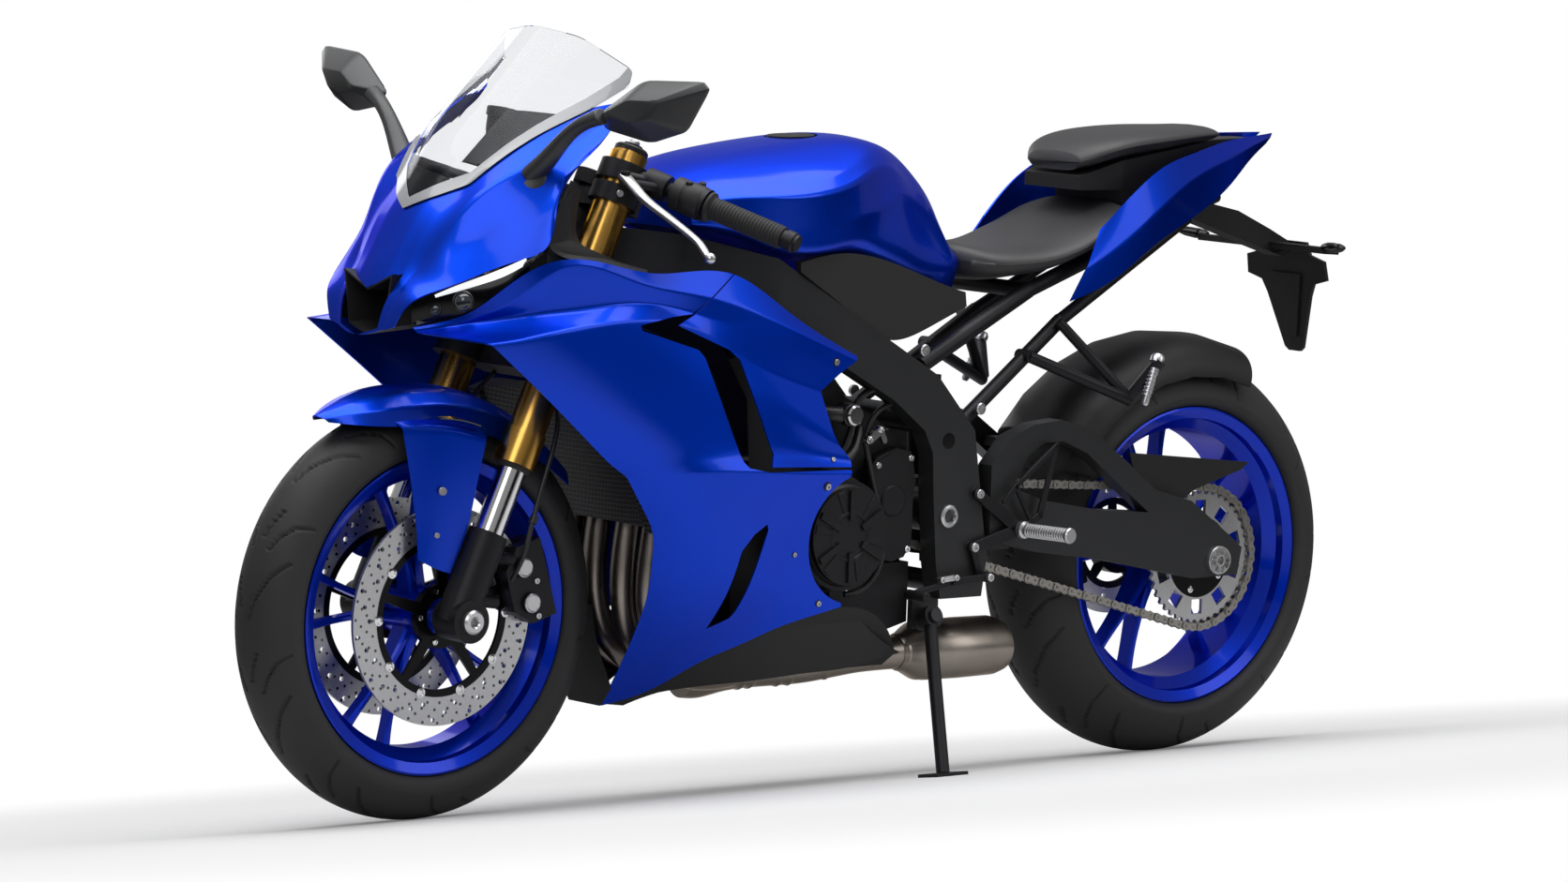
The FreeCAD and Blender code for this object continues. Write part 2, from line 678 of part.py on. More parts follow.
def subframe():
    """The rear frame: two rails and two struts a side, tied by cross pieces."""
    tail_end = (SUBFRAME_END[0], 70, SUBFRAME_END[1])
    rail = fuse([rod((-112, 129, 635), (-352, 96, 738), 13), rod((-352, 96, 738), tail_end, 12),
                 rod((-198, 127, 546), (-420, 96, 690), 11), rod((-420, 96, 690), (-700, 72, 838), 10),
                 Part.makeSphere(13, V(-352, 96, 738)), Part.makeSphere(11, V(-420, 96, 690))])
    ties = [rod((-352, -96, 738), (-352, 96, 738), 12), rod((-700, -72, 838), (-700, 72, 838), 10),
            rod((-560, -84, 806), (-560, 84, 806), 10),
            cross_rod(SUBFRAME_END[0], SUBFRAME_END[1], -70, 70, 12)]
    return fuse([rail, mirrored(rail)] + ties).cut(frame_main())


def swingarm():
    """The aluminium swingarm: pivot tube, cross box, and an arm each side with an arched brace."""
    outer = [(-246, 372), (-246, 482), (-284, 523), (-330, 540), (-385, 545), (-448, 527), (-520, 478),
             (-585, 430), (-662, 409), (-745, 352), (-772, 332), (-764, 290), (-669, 289), (-470, 329),
             (-344, 346)]
    window = [(-292, 446), (-318, 492), (-352, 512), (-392, 512), (-440, 492), (-510, 440), (-572, 396),
              (-470, 404), (-356, 424)]
    arm = side_plate(outer, ARM_INNER, ARM_INNER + ARM_THICK)
    arm = arm.cut(side_plate(window, ARM_INNER - 1, ARM_INNER + ARM_THICK + 1))
    arm = arm.cut(cross_rod(REAR_X, REAR_RADIUS, ARM_INNER - 1, ARM_INNER + ARM_THICK + 1, AXLE_RADIUS))
    tube = cross_rod(PIVOT_X, PIVOT_Z, -104, 104, 28)
    box = side_plate([(-166, 384), (-166, 436), (-246, 480), (-312, 470), (-312, 352), (-246, 372)],
                     -88, 88)
    bridge = side_plate([(-248, 350), (-248, 430), (-312, 430), (-312, 350)], -ARM_INNER - 2, ARM_INNER + 2)
    body = fuse([arm, mirrored(arm), tube, box, bridge])
    body = body.cut(cross_rod(PIVOT_X, PIVOT_Z, -120, 120, PIVOT_RADIUS + SEAT_GAP))
    return body.cut(block(-300, -206, -44, 44, 300, 520))


def rear_axle():
    """The hollow rear axle with its nut rings."""
    end = ARM_INNER + ARM_THICK
    bar = cross_rod(REAR_X, REAR_RADIUS, -end - 6, end + 6, AXLE_RADIUS)
    rings = [cross_rod(REAR_X, REAR_RADIUS, end, end + 9, 21),
             cross_rod(REAR_X, REAR_RADIUS, -end - 9, -end, 21)]
    spacers = [cross_rod(REAR_X, REAR_RADIUS, REAR_HUB_HALF + 0.5, ARM_INNER, 19),
               cross_rod(REAR_X, REAR_RADIUS, -ARM_INNER, -REAR_HUB_HALF - 0.5, 19)]
    axle = fuse([bar] + rings + spacers)
    return axle.cut(cross_rod(REAR_X, REAR_RADIUS, -200, 200, AXLE_BORE))


def rear_caliper():
    """The small rear caliper under the right arm, open in a slot for its disc."""
    half_slot = DISC_THICK / 2 + PAD_GAP
    body = block(-30, 30, REAR_DISC_Y - 20, REAR_DISC_Y + 25.7, REAR_DISC_INNER + 8, REAR_DISC_RADIUS + 14)
    slot = block(-40, 40, REAR_DISC_Y - half_slot, REAR_DISC_Y + half_slot, 0, REAR_DISC_RADIUS + PAD_GAP)
    body = around(body.cut(slot), 0, 0, 110)
    return mirrored(move(body, REAR_X, 0, REAR_RADIUS))


def shock():
    """The rear shock with its spring seats, its foot pin in the arm and its head on the frame's lug."""
    low, high = (-256, 0, 322), (-240, 0, 592)
    body = fuse([rod(low, high, 13), rod((-254, 0, 352), (-243, 0, 530), 29),
                 rod((-255, 0, 338), (-254, 0, 352), 33), rod((-243, 0, 530), (-242, 0, 545), 33),
                 cross_rod(-252, 390, -44, 44, 8)])
    return body.cut(frame_main())


def chain():
    """The drive chain as one closed loop around both sprockets, its outer links standing proud."""
    big, small = pitch_radius(SPROCKET_TEETH), pitch_radius(DRIVE_TEETH)
    span = V(DRIVE_X - REAR_X, 0, DRIVE_Z - REAR_RADIUS)
    tilt = math.atan2(span.z, span.x)
    wrap = math.asin((big - small) / span.Length)
    upper = math.pi / 2 + tilt - wrap
    lower = -math.pi / 2 + tilt + wrap
    inner_half = CHAIN_WIDTH / 2 - LINK_PROUD
    bands = []
    for height, low_y, high_y in ((PLATE_HEIGHT / 2, CHAIN_SLOT / 2, inner_half),
                                  (ROLLER_RADIUS, -CHAIN_SLOT / 2, CHAIN_SLOT / 2),
                                  (PLATE_HEIGHT / 2, -inner_half, -CHAIN_SLOT / 2)):
        loops = []
        for grow, extra in ((height, 0.0), (-height, 1.0)):
            path = []
            for centre_x, centre_z, r, start, end, steps in (
                    (REAR_X, REAR_RADIUS, big, upper, lower + 2 * math.pi, 20),
                    (DRIVE_X, DRIVE_Z, small, lower, upper, 8)):
                for i in range(steps):
                    a = start + (end - start) * i / (steps - 1)
                    path.append((centre_x + (r + grow) * math.cos(a), centre_z + (r + grow) * math.sin(a)))
            loops.append(side_plate(path, CHAIN_Y + low_y - extra, CHAIN_Y + high_y + extra))
        bands.append(loops[0].cut(loops[1]))

    def on_loop(along):
        """The pitch line's point and direction at a length from its start over the big sprocket."""
        run = math.sqrt(span.Length ** 2 - (big - small) ** 2)
        big_arc = big * (lower + 2 * math.pi - upper)
        small_arc = small * (upper - lower)
        along %= big_arc + small_arc + 2 * run
        if along > big_arc + run + small_arc:
            place, radius, angle = (DRIVE_X, DRIVE_Z), small, upper
            ahead = along - big_arc - run - small_arc
        elif along > big_arc + run:
            place, radius, angle = (DRIVE_X, DRIVE_Z), small, lower + (along - big_arc - run) / small
            ahead = 0.0
        elif along > big_arc:
            place, radius, angle = (REAR_X, REAR_RADIUS), big, lower
            ahead = along - big_arc
        else:
            place, radius, angle = (REAR_X, REAR_RADIUS), big, upper + along / big
            ahead = 0.0
        heading = angle + math.pi / 2
        x = place[0] + radius * math.cos(angle) + ahead * math.cos(heading)
        z = place[1] + radius * math.sin(angle) + ahead * math.sin(heading)
        return x, z, heading, big_arc + small_arc + 2 * run

    length = on_loop(0.0)[3]
    pairs = round(length / CHAIN_PITCH / 2)
    half_long = CHAIN_PITCH / 2 + 4.5
    half_high = PLATE_HEIGHT / 2 - 0.5
    plates = []
    for i in range(pairs):
        x, z, heading, _ = on_loop(length * i / pairs)
        c, n = math.cos(heading), math.sin(heading)
        corners = ((-half_long, -half_high), (half_long, -half_high), (half_long, half_high),
                   (-half_long, half_high))
        outline = [(x + u * c - w * n, z + u * n + w * c) for u, w in corners]
        plates.append(side_plate(outline, CHAIN_Y + inner_half, CHAIN_Y + CHAIN_WIDTH / 2))
        plates.append(side_plate(outline, CHAIN_Y - CHAIN_WIDTH / 2, CHAIN_Y - inner_half))
    return fuse(bands + plates)


def chain_guard():
    """The thin fin over the chain's lower run and the sprocket's top."""
    fin = [(-548, 486), (-801, 461), (-786, 450), (-690, 424), (-662, 409 + SEAT_GAP),
           (-585, 430 + SEAT_GAP), (-560, 454)]
    return side_plate(fin, ARM_INNER + 4, ARM_INNER + 8)


def hugger():
    """The mudguard that follows the rear tyre from above the swingarm."""
    rows = []
    for y, drop in ((0, 0), (50, 6), (82, 26), (96, 60)):
        row = []
        for px, pz in arc_points(REAR_RADIUS + 24 - drop, 36, 112, 7):
            row.append((REAR_X + px, y, REAR_RADIUS + pz))
        rows.append(row)
    whole = [across([rows[k][j] for k in range(4)]) for j in range(7)]
    tab = block(-486, -464, 84, ARM_INNER, 478, 492)
    return fuse([shell_panel(whole, PANEL, -1.0), tab, mirrored(tab)])


# Engine, cooling and exhaust

def engine_block():
    """Crankcase, cylinders and head as one plain block, filled inside."""
    outline = [(-118, 250), (-118, 500), (-40, 560), (50, 610), (190, 668), (300, 640), (336, 560),
               (280, 460), (232, 380), (222, 230), (60, 206)]
    body = side_plate(outline, -ENGINE_HALF, ENGINE_HALF)
    chain_room = CHAIN_Y - CHAIN_WIDTH / 2 - 3
    return body.cut(block(-140, -24, chain_room, ENGINE_HALF + 1, 340, 500))


def engine_covers():
    """Alternator, clutch and sprocket covers, each standing on the block."""
    alternator = fuse([cross_rod(65, 395, ENGINE_HALF, 176, 82), cross_rod(65, 395, 176, 190, 72)])
    ribs = []
    for i in range(6):
        rib = block(-5, 5, 186, 194, 24, 68)
        ribs.append(move(around(rib, 0, 0, 60 * i), 65, 0, 395))
    alternator = fuse([alternator] + ribs)
    clutch = fuse([cross_rod(20, 380, -168, -ENGINE_HALF, 88), cross_rod(20, 380, -178, -168, 74)])
    outer_side = CHAIN_Y + CHAIN_WIDTH / 2 + 5
    outline = [(-20, 488), (-70, 512), (-104, 500), (-104, 360), (-70, 345), (-20, 352)]
    lip = side_plate([(-20, 480), (-23.5, 480), (-23.5, 360), (-20, 360)], ENGINE_HALF, outer_side)
    drive_cover = fuse([side_plate(outline, outer_side, outer_side + 14), lip])
    shaft = cross_rod(0, 0, CHAIN_Y - CHAIN_WIDTH / 2 - 3, CHAIN_Y + 8, 13)
    drive_sprocket = move(fuse([sprocket(DRIVE_TEETH, False), shaft]), DRIVE_X, 0, DRIVE_Z)
    return Part.makeCompound([alternator, clutch, drive_cover, drive_sprocket])


def radiator():
    """The radiator behind the front wheel: a bowed core between two side tanks."""
    def station(y, back):
        return [(x - back, y, z) for x, z in ((464, 612), (494, 603), (414, 420), (384, 430))]
    core = lofted([station(y, 12 * (1 - (y / 150) ** 2)) for y in (-150, -90, -30, 30, 90, 150)], ruled=True)
    tanks = side_plate([(460, 610), (500, 598), (420, 414), (380, 426)], 150, RADIATOR_HALF)
    return fuse([core, tanks, mirrored(tanks)])


def exhaust_pipes():
    """Four header pipes that gather under the engine into one link pipe."""
    pipes = []
    for y in (-96, -34, 34, 96):
        route = [(290, y, 590), (352, y, 566), (348, y, 450), (352, y, 400), (366, y, 330),
                 (318, y * 0.75, 205), (200, y * 0.4, 176)]
        pipes.append(bent_tube(route, 17, 36))
    gather = lofted([[(215, -70, 156), (215, 70, 156), (215, 70, 196), (215, -70, 196)],
                     [(60, -30, 158), (60, 50, 158), (60, 50, 200), (60, -30, 200)]])
    link = bent_tube([(75, 10, 178), (10, 24, 180), (-60, 62, 196), (SILENCER_FRONT + SEAT_GAP, 62, 196)],
                     24, 60)
    return fuse(pipes + [gather, link]).cut(engine_block())


def silencer():
    """The short silencer under the swingarm, with its outlet."""
    sections = []
    for back, half_y, half_z in ((0, 27, 25), (30, 46, 40), (50, 52, 46), (190, 50, 44), (206, 44, 38)):
        x = SILENCER_FRONT - back
        ring = []
        for i in range(12):
            a = 2 * math.pi * i / 12
            ring.append((x, 62 + half_y * math.cos(a), 196 + half_z * math.sin(a)))
        sections.append(ring)
    body = lofted(sections, smooth=True, ruled=True)
    tip = rod((-340, 40, 200), (-364, 40, 204), 20, 16)
    return fuse([body, tip])


# Controls beside the engine

def rearsets():
    """Peg brackets with rider pegs, heel guards and the gear and brake pedals."""
    plate = side_plate([(-192, 456), (-236, 448), (-330, 405), (-318, 372), (-262, 352), (-236, 330),
                        (-236, 302), (-208, 302), (-208, 330), (-196, 344)], 156, 162)
    bosses = [cross_rod(-210, 438, PLATE_OUTER, 158, 8), cross_rod(-212, 362, PLATE_OUTER, 158, 8)]
    peg = rod((-284, 159, 384), (-296, 262, 386), 11)
    guard = side_plate([(-232, 452), (-372, 512), (-352, 470), (-318, 440), (-300, 400)], 160, 165)
    bar = side_plate([(-232, 326), (-212, 326), (-200, 317), (-62, 306), (-62, 294), (-200, 303), (-212, 306),
                      (-232, 306)], 172, 180)
    pedal = [bar, rod((-222, 158, 316), (-222, 183, 316), 8), rod((-67, 174, 300), (-67, 214, 300), 8)]
    return both(fuse([plate, peg, guard] + pedal + bosses))


def passenger_pegs():
    """Hangers from the rear frame with folding pegs."""
    hanger = fuse([rod((-340, 118, 640), (-506, 168, 572), 9), rod((-404, 112, 690), (-506, 168, 572), 8),
                   rod((-340, 96, 640), (-340, 124, 640), 10)])
    peg = rod((-506, 168, 578), (-530, 206, 636), 10)
    return both(fuse([hanger, peg]).cut(subframe()))


def ground_lift():
    """How far the lean lifts the bike, so that both round tyre crowns still touch the ground."""
    crown = (FRONT_CROWN + REAR_CROWN) / 2
    return crown * (1 - math.cos(LEAN))


def leaned(shape):
    """The piece as it stands, leaned to the left."""
    copy = shape.copy()
    copy.rotate(V(0, 0, 0), V(1, 0, 0), -LEAN_DEG)
    copy.translate(V(0, 0, ground_lift()))
    return copy


def unleaned(shape):
    """A piece drawn on the level ground, turned into the upright drawing."""
    copy = shape.copy()
    copy.translate(V(0, 0, -ground_lift()))
    copy.rotate(V(0, 0, 0), V(1, 0, 0), LEAN_DEG)
    return copy


def leaned_point(point):
    """A point of the upright drawing as it lies after the lean."""
    c, s = math.cos(LEAN), math.sin(LEAN)
    return V(point.x, point.y * c + point.z * s, point.z * c - point.y * s + ground_lift())


def side_stand():
    """The stand's leg with its eye, pin and flat foot on the ground."""
    pivot = leaned_point(STAND_PIVOT)
    down = leaned_point(STAND_PIVOT + STAND_DOWN) - pivot
    reach = (pivot.z - FOOT_THICK / 2) / -down.z
    foot_at = pivot + down * reach
    end = STAND_PIVOT + STAND_DOWN * reach
    leg = rod(tuple(STAND_PIVOT), tuple(end), STAND_LEG_RADIUS)
    eye = rod(stand_point(-STAND_EYE_HALF), stand_point(STAND_EYE_HALF), 17)
    foot = Part.makeBox(FOOT_LENGTH, FOOT_WIDTH, FOOT_THICK,
                        V(foot_at.x - FOOT_LENGTH / 2, foot_at.y - FOOT_WIDTH / 2, 0))
    below = Part.makeBox(400, 400, 100, V(foot_at.x - 200, foot_at.y - 200, -100))
    body = fuse([leg, eye, unleaned(foot)]).cut(unleaned(below))
    return body.cut(rod(stand_point(-20), stand_point(20), STAND_PIN_RADIUS + RUNNING_GAP))


# Bodywork

# The tank's cross-sections: place along the bike, crown height, floor height, then on the left side the
# crown's edge, the shoulder crease, the edge of the knee recess, the recess and the lower edge as (y, z)

TANK_SECTIONS = [
    (345, 915, 848, (45, 912), (95, 900), (126, 886), (138, 870), (142, 854)),
    (270, 940, 836, (60, 936), (118, 918), (162, 895), (162, 866), (154, 840)),
    (180, 957, 812, (68, 953), (130, 930), (178, 896), (172, 850), (168, 812)),
    (90, 968, 790, (70, 964), (140, 934), (170, 904), (168, 850), (164, 814)),
    (30, 973, 760, (68, 969), (120, 946), (150, 919), (156, 862), (152, 818)),
    (-20, 974, 735, (64, 970), (98, 956), (124, 931), (136, 872), (144, 806)),
    (-75, 966, 712, (56, 961), (76, 951), (98, 926), (112, 888), (134, 792)),
    (-120, 949, 704, (44, 944), (60, 932), (78, 904), (92, 880), (122, 780)),
    (-165, 920, 702, (34, 914), (48, 902), (62, 880), (76, 856), (110, 776)),
    (-205, 882, 702, (26, 876), (38, 864), (50, 846), (64, 826), (96, 778)),
    (-228, 846, 702, (18, 841), (28, 832), (38, 820), (52, 806), (80, 784)),
]


def tank_ring(x, top, floor, *side):
    """One closed cross-section of the tank, from the crown down the left side and up the right."""
    left = [(x, y, z) for y, z in side]
    foot = 0.6 * side[-1][0]
    return ([(x, 0, top)] + left + [(x, foot, floor), (x, -foot, floor)]
            + [(x, -y, z) for x, y, z in reversed(left)])


def fuel_tank():
    """The fuel tank with its creases and knee recesses, and the well for its cap."""
    body = lofted([tank_ring(*section) for section in TANK_SECTIONS])
    return body.cut(Part.makeCylinder(40, 60, V(44, 0, 955), V(0.04, 0, 1)))


def fuel_cap():
    """The hinged cap in its ring on the tank."""
    return Part.makeCylinder(36, 16, V(44, 0, 955.3), V(0.04, 0, 1))


def knee_pads():
    """Thick pads under the tank's knee recesses, standing on the frame's spars."""
    rows = [[(152, 160, 797), (110, 158, 805), (54, 152, 808), (-20, 147, 796), (-110, 139, 768),
             (-200, 127, 742)],
            [(150, 158, 783), (112, 158, 760), (75, 155, 738), (-36, 146, 677), (-120, 137, 692),
             (-204, 126, 720)]]
    pad = shell_panel(rows, PAD_THICK)
    return both(pad.cut(fuel_tank()).cut(frame_main()))


def rider_seat():
    """The rider's seat, low at the tank and rising to the step behind."""
    sections = []
    for x, top, half, floor in ((-231, 812, 84, 752), (-270, 800, 108, 748), (-360, 808, 124, 756),
                                (-450, 838, 130, 784), (-520, 862, 122, 812), (-548, 876, 96, 838)):
        sections.append([(x, 0, top), (x, half * 0.6, top - 2), (x, half * 0.93, top - 12),
                         (x, half, top - 28), (x, half * 0.9, floor), (x, -half * 0.9, floor),
                         (x, -half, top - 28), (x, -half * 0.93, top - 12), (x, -half * 0.6, top - 2)])
    return lofted(sections)


def pillion_deck(x):
    """The height of the deck under the passenger seat."""
    for (x0, z0), (x1, z1) in zip(PILLION_DECK, PILLION_DECK[1:]):
        if x1 <= x <= x0:
            return z0 + (z1 - z0) * (x - x0) / (x1 - x0)
    return PILLION_DECK[-1][1]


def passenger_seat():
    """The high passenger pad on the tail."""
    sections = []
    for x, top, half in ((-482, 950, 78), (-556, 970, 96), (-680, 976, 90), (-790, 976, 54)):
        floor = pillion_deck(x)
        sections.append([(x, 0, top), (x, half * 0.7, top - 2), (x, half, top - 12), (x, half * 0.9, floor),
                         (x, -half * 0.9, floor), (x, -half, top - 12), (x, -half * 0.7, top - 2)])
    return lofted(sections, ruled=True)


def tail_cowls():
    """The blue side panels of the tail, creased along their length."""
    rows = [[(-462, 133, 830), (-520, 138, 880), (-590, 131, 921), (-680, 110, 942), (-770, 78, 955),
             (-860, 44, 960), (-932, 14, 962)],
            [(-428, 146, 776), (-499, 149, 811), (-565, 146, 852), (-640, 130, 892), (-742, 98, 924),
             (-850, 54, 945), (-926, 17, 955)],
            [(-394, 147, 724), (-476, 145, 751), (-575, 134, 803), (-668, 112, 838), (-767, 89, 883),
             (-850, 50, 922), (-916, 18, 946)]]
    return both(shell_panel(rows, PANEL))


def tail_center():
    """The black tail core between the cowls, which carries the passenger seat."""
    sections = []
    tie_top = SUBFRAME_END[1] + 12
    for x, half, floor in ((-482, 62, 884), (-556, 76, 884), (-560, 76, 862), (-680, 60, 866),
                           (SUBFRAME_END[0], 46, tie_top + SEAT_GAP), (-790, 40, 896), (-880, 20, 930)):
        top = pillion_deck(x) - SEAT_GAP
        sections.append([(x, -half, top), (x, half, top), (x, half, floor), (x, -half, floor)])
    tab = block(-640, -620, 50, 126.0, 893, 903)
    return fuse([lofted(sections, ruled=True), tab, mirrored(tab)]).cut(tail_cowls())


def tail_lamp():
    """The red lamp strip under the tail's tip."""
    return lofted([[(-880.3, -20, 930), (-880.3, 20, 930), (-880.3, 20, 946), (-880.3, -20, 946)],
                   [(-904, -16, 940), (-904, 16, 940), (-904, 16, 954), (-904, -16, 954)]], ruled=True)


def plate_bracket():
    """The bracket behind the tail with its indicator arms and the plate carrier."""
    arm = fuse([side_plate([(-740, 867), (-740, 838), (-960, 768), (-980, 776), (-960, 802), (-860, 842)],
                           -24, 24),
                side_plate([(-940, 790), (-972, 620), (-1002, 618), (-986, 790)], -52, 52)])
    stalks = rod((-945, -150, 786), (-945, 150, 786), 9)
    tips = [lofted([[(-925, y, 776), (-965, y, 776), (-965, y, 794), (-925, y, 794)],
                    [(-915, y * 1.27, 800), (-945, y * 1.27, 800), (-945, y * 1.27, 808),
                     (-915, y * 1.27, 808)]], ruled=True) for y in (-148, 148)]
    return fuse([arm, stalks] + tips).cut(subframe())


# The nose: one master surface drawn as lines from the lamps back to the screen, then cut

NOSE_LINES = [
    [(838, 0, 700), (829, 0, 742), (812, 0, 786), (784, 0, 832), (750, 0, 888), (722, 0, 924),
     (668, 0, 990), (600, 0, 1064), (533, 0, 1135)],
    [(836, 22, 702), (827, 28, 746), (808, 30, 788), (783, 30, 832), (750, 34, 882), (716, 40, 922),
     (657, 66, 987), (586, 82, 1054), (515, 86, 1122)],
    [(833, 40, 707), (823, 50, 752), (799, 55, 790), (776, 58, 832), (748, 66, 872), (706, 76, 916),
     (634, 112, 982), (546, 136, 1029), (470, 150, 1078)],
    [(831, 52, 711), (817, 64, 758), (790, 70, 792), (768, 82, 828), (747, 98, 864), (716, 118, 904),
     (658, 148, 944), (590, 157, 974), (502, 168, 1022)],
    [(830, 60, 712), (818, 78, 756), (795, 90, 782), (768, 108, 814), (737, 122, 842), (703, 144, 872),
     (664, 165, 905), (612, 172, 946), (541, 180, 986)],
    [(829, 68, 714), (818, 88, 754), (794, 108, 775), (765, 130, 796), (733, 145, 820), (700, 166, 842),
     (664, 187, 868), (630, 188, 914), (585, 190, 959)],
    [(828, 75, 716), (817, 97, 752), (790, 122, 771), (760, 145, 786), (733, 161, 799), (700, 183, 814),
     (662, 205, 834), (645, 201, 885), (626, 197, 935)],
]
SCREEN_HALF_EDGE = [(0, 886), (40, 908), (76, 926), (112, 984), (136, 1032), (148, 1062), (149, 1150)]
INTAKE_MOUTH = [(0, 766), (57, 790), (43, 712), (0, 699)]
SCREEN_LAP = 9.0


def nose_rows(outward):
    """The master lines from the right lamp over the middle to the left one, moved outward."""
    rows = [[(x, -y, z) for x, y, z in line] for line in reversed(NOSE_LINES[1:])] + NOSE_LINES
    if outward == 0:
        return rows
    return [[tuple(V(*p) - n * outward) for p, n in zip(row, normals)]
            for row, normals in zip(rows, inward_normals(rows))]


def front_prism(half, x0, x1):
    """A prism along the bike whose front view is the (y, z) outline and its mirror image."""
    left = [(x0, y, z) for y, z in half]
    right = [(x0, -y, z) for y, z in reversed(half) if y > 0]
    points = [V(*p) for p in left + right]
    return Part.Face(Part.makePolygon(points + points[:1])).extrude(V(x1 - x0, 0, 0))


def nose_cowl():
    """The nose cowl: lamp edges, forked front round the intake, creases and the screen's seat."""
    skin = shell_panel(nose_rows(0.0), PANEL)
    skin = skin.cut(front_prism(SCREEN_HALF_EDGE, 420, 800))
    return skin.cut(front_prism(INTAKE_MOUTH, 770, 880))


def windscreen():
    """The clear screen, lapped over the cowl's edge and screwed to it."""
    skin = shell_panel(nose_rows(SEAT_GAP / 3 + SCREEN), SCREEN)
    lap = [(y + (SCREEN_LAP if y > 0 else 0), z - SCREEN_LAP) for y, z in SCREEN_HALF_EDGE]
    return skin.common(front_prism(lap, 420, 800))


def headlamps():
    """A lamp housing each side in the bay between the nose's edge and the shoulder panel."""
    sections = []
    for upper, lower in (((806, 98, 744), (800, 92, 722)), ((778, 120, 765), (772, 112, 735)),
                         ((744, 142, 784), (738, 140, 748)), ((712, 164, 799), (708, 160, 774)),
                         ((676, 186, 817), (674, 184, 806))):
        top, bottom = upper[2] + LAMP_LAP, lower[2] - 2 * LAMP_LAP
        sections.append([(upper[0], upper[1], top), (lower[0], lower[1], bottom),
                         (lower[0] - 55, lower[1] - 30, bottom), (upper[0] - 55, upper[1] - 30, top)])
    housing = lofted(sections, ruled=True).cut(shell_panel(FLANK_LINES, PANEL))
    return both(housing.cut(shell_panel(nose_rows(0.0), PANEL)))


def intake():
    """The open black duct behind the forked nose, with its chin below."""
    half = [(0, 765.6), (56.6, 789.3), (42.7, 712.4), (0, 699.4)]
    mouth = [(y, z) for y, z in half] + [(-y, z) for y, z in reversed(half[1:-1])]
    outer = lofted([[(818, y, z) for y, z in mouth], [(712, y * 0.7, 738 + (z - 738) * 0.8) for y, z in mouth]],
                   ruled=True)
    inner = lofted([[(819, y * 0.92, 740 + (z - 740) * 0.9) for y, z in mouth],
                    [(722, y * 0.6, 738 + (z - 738) * 0.68) for y, z in mouth]], ruled=True)
    return outer.cut(inner)


def instrument_panel():
    """The display in its housing behind the screen."""
    return side_plate([(560, 925), (505, 1000), (520, 1010), (600, 935)], -75, 75)


def fairing_stay():
    """The bracket that carries the nose, the instruments and the mirrors from the steering head."""
    boom = side_plate([(470, 800), (470, 846), (560, 924.7), (585, 930.9), (560, 850)], -28, 28)
    boom = boom.cut(rod(head_point(380), head_point(700), HEAD_RADIUS))
    arm = rod((572, 20, 900), (656, 146, 940), 8)
    skin = shell_panel(nose_rows(STAY_CUT), STAY_CUT + PANEL)
    return fuse([boom, arm, mirrored(arm)]).cut(skin)


def mirrors():
    """Swept-back mirror heads on short arms, with a ridge across each shell."""
    corners = [(248, 1025), (330, 1076), (436, 1080), (446, 1071), (408, 1010), (344, 990), (266, 1003)]
    rim = []
    ridge = []
    for y, z in corners:
        x = 608 - MIRROR_SWEEP * (y - 250)
        rim.append((x, y, z))
        ridge.append((x + 34, 330 + (y - 330) * 0.5, 1034 + (z - 1034) * 0.4))
    head = lofted([rim, ridge], ruled=True)
    arm = lofted([[(660, 148, 944), (634, 148, 952), (630, 148, 934), (654, 148, 926)],
                  [(642, 205, 994), (622, 205, 998), (620, 205, 984), (638, 205, 980)],
                  [(634, 268, 1032), (616, 268, 1034), (614, 268, 1014), (630, 268, 1012)]], ruled=True)
    mirror = fuse([head, arm])
    return both(mirror.cut(shell_panel(nose_rows(SEAT_GAP), MIRROR_FOOT_DEPTH)))


def inner_panels():
    """Dark panels between the nose and the fork on each side."""
    rows = [[(634, 198, 896), (604, 186, 911)], [(655, 197, 838), (602, 186, 842)],
            [(638, 194, 818), (488, 186, 800)]]
    return both(shell_panel(rows, PANEL))


# The flank: one master surface from the shoulder to the belly, split and pierced in side view

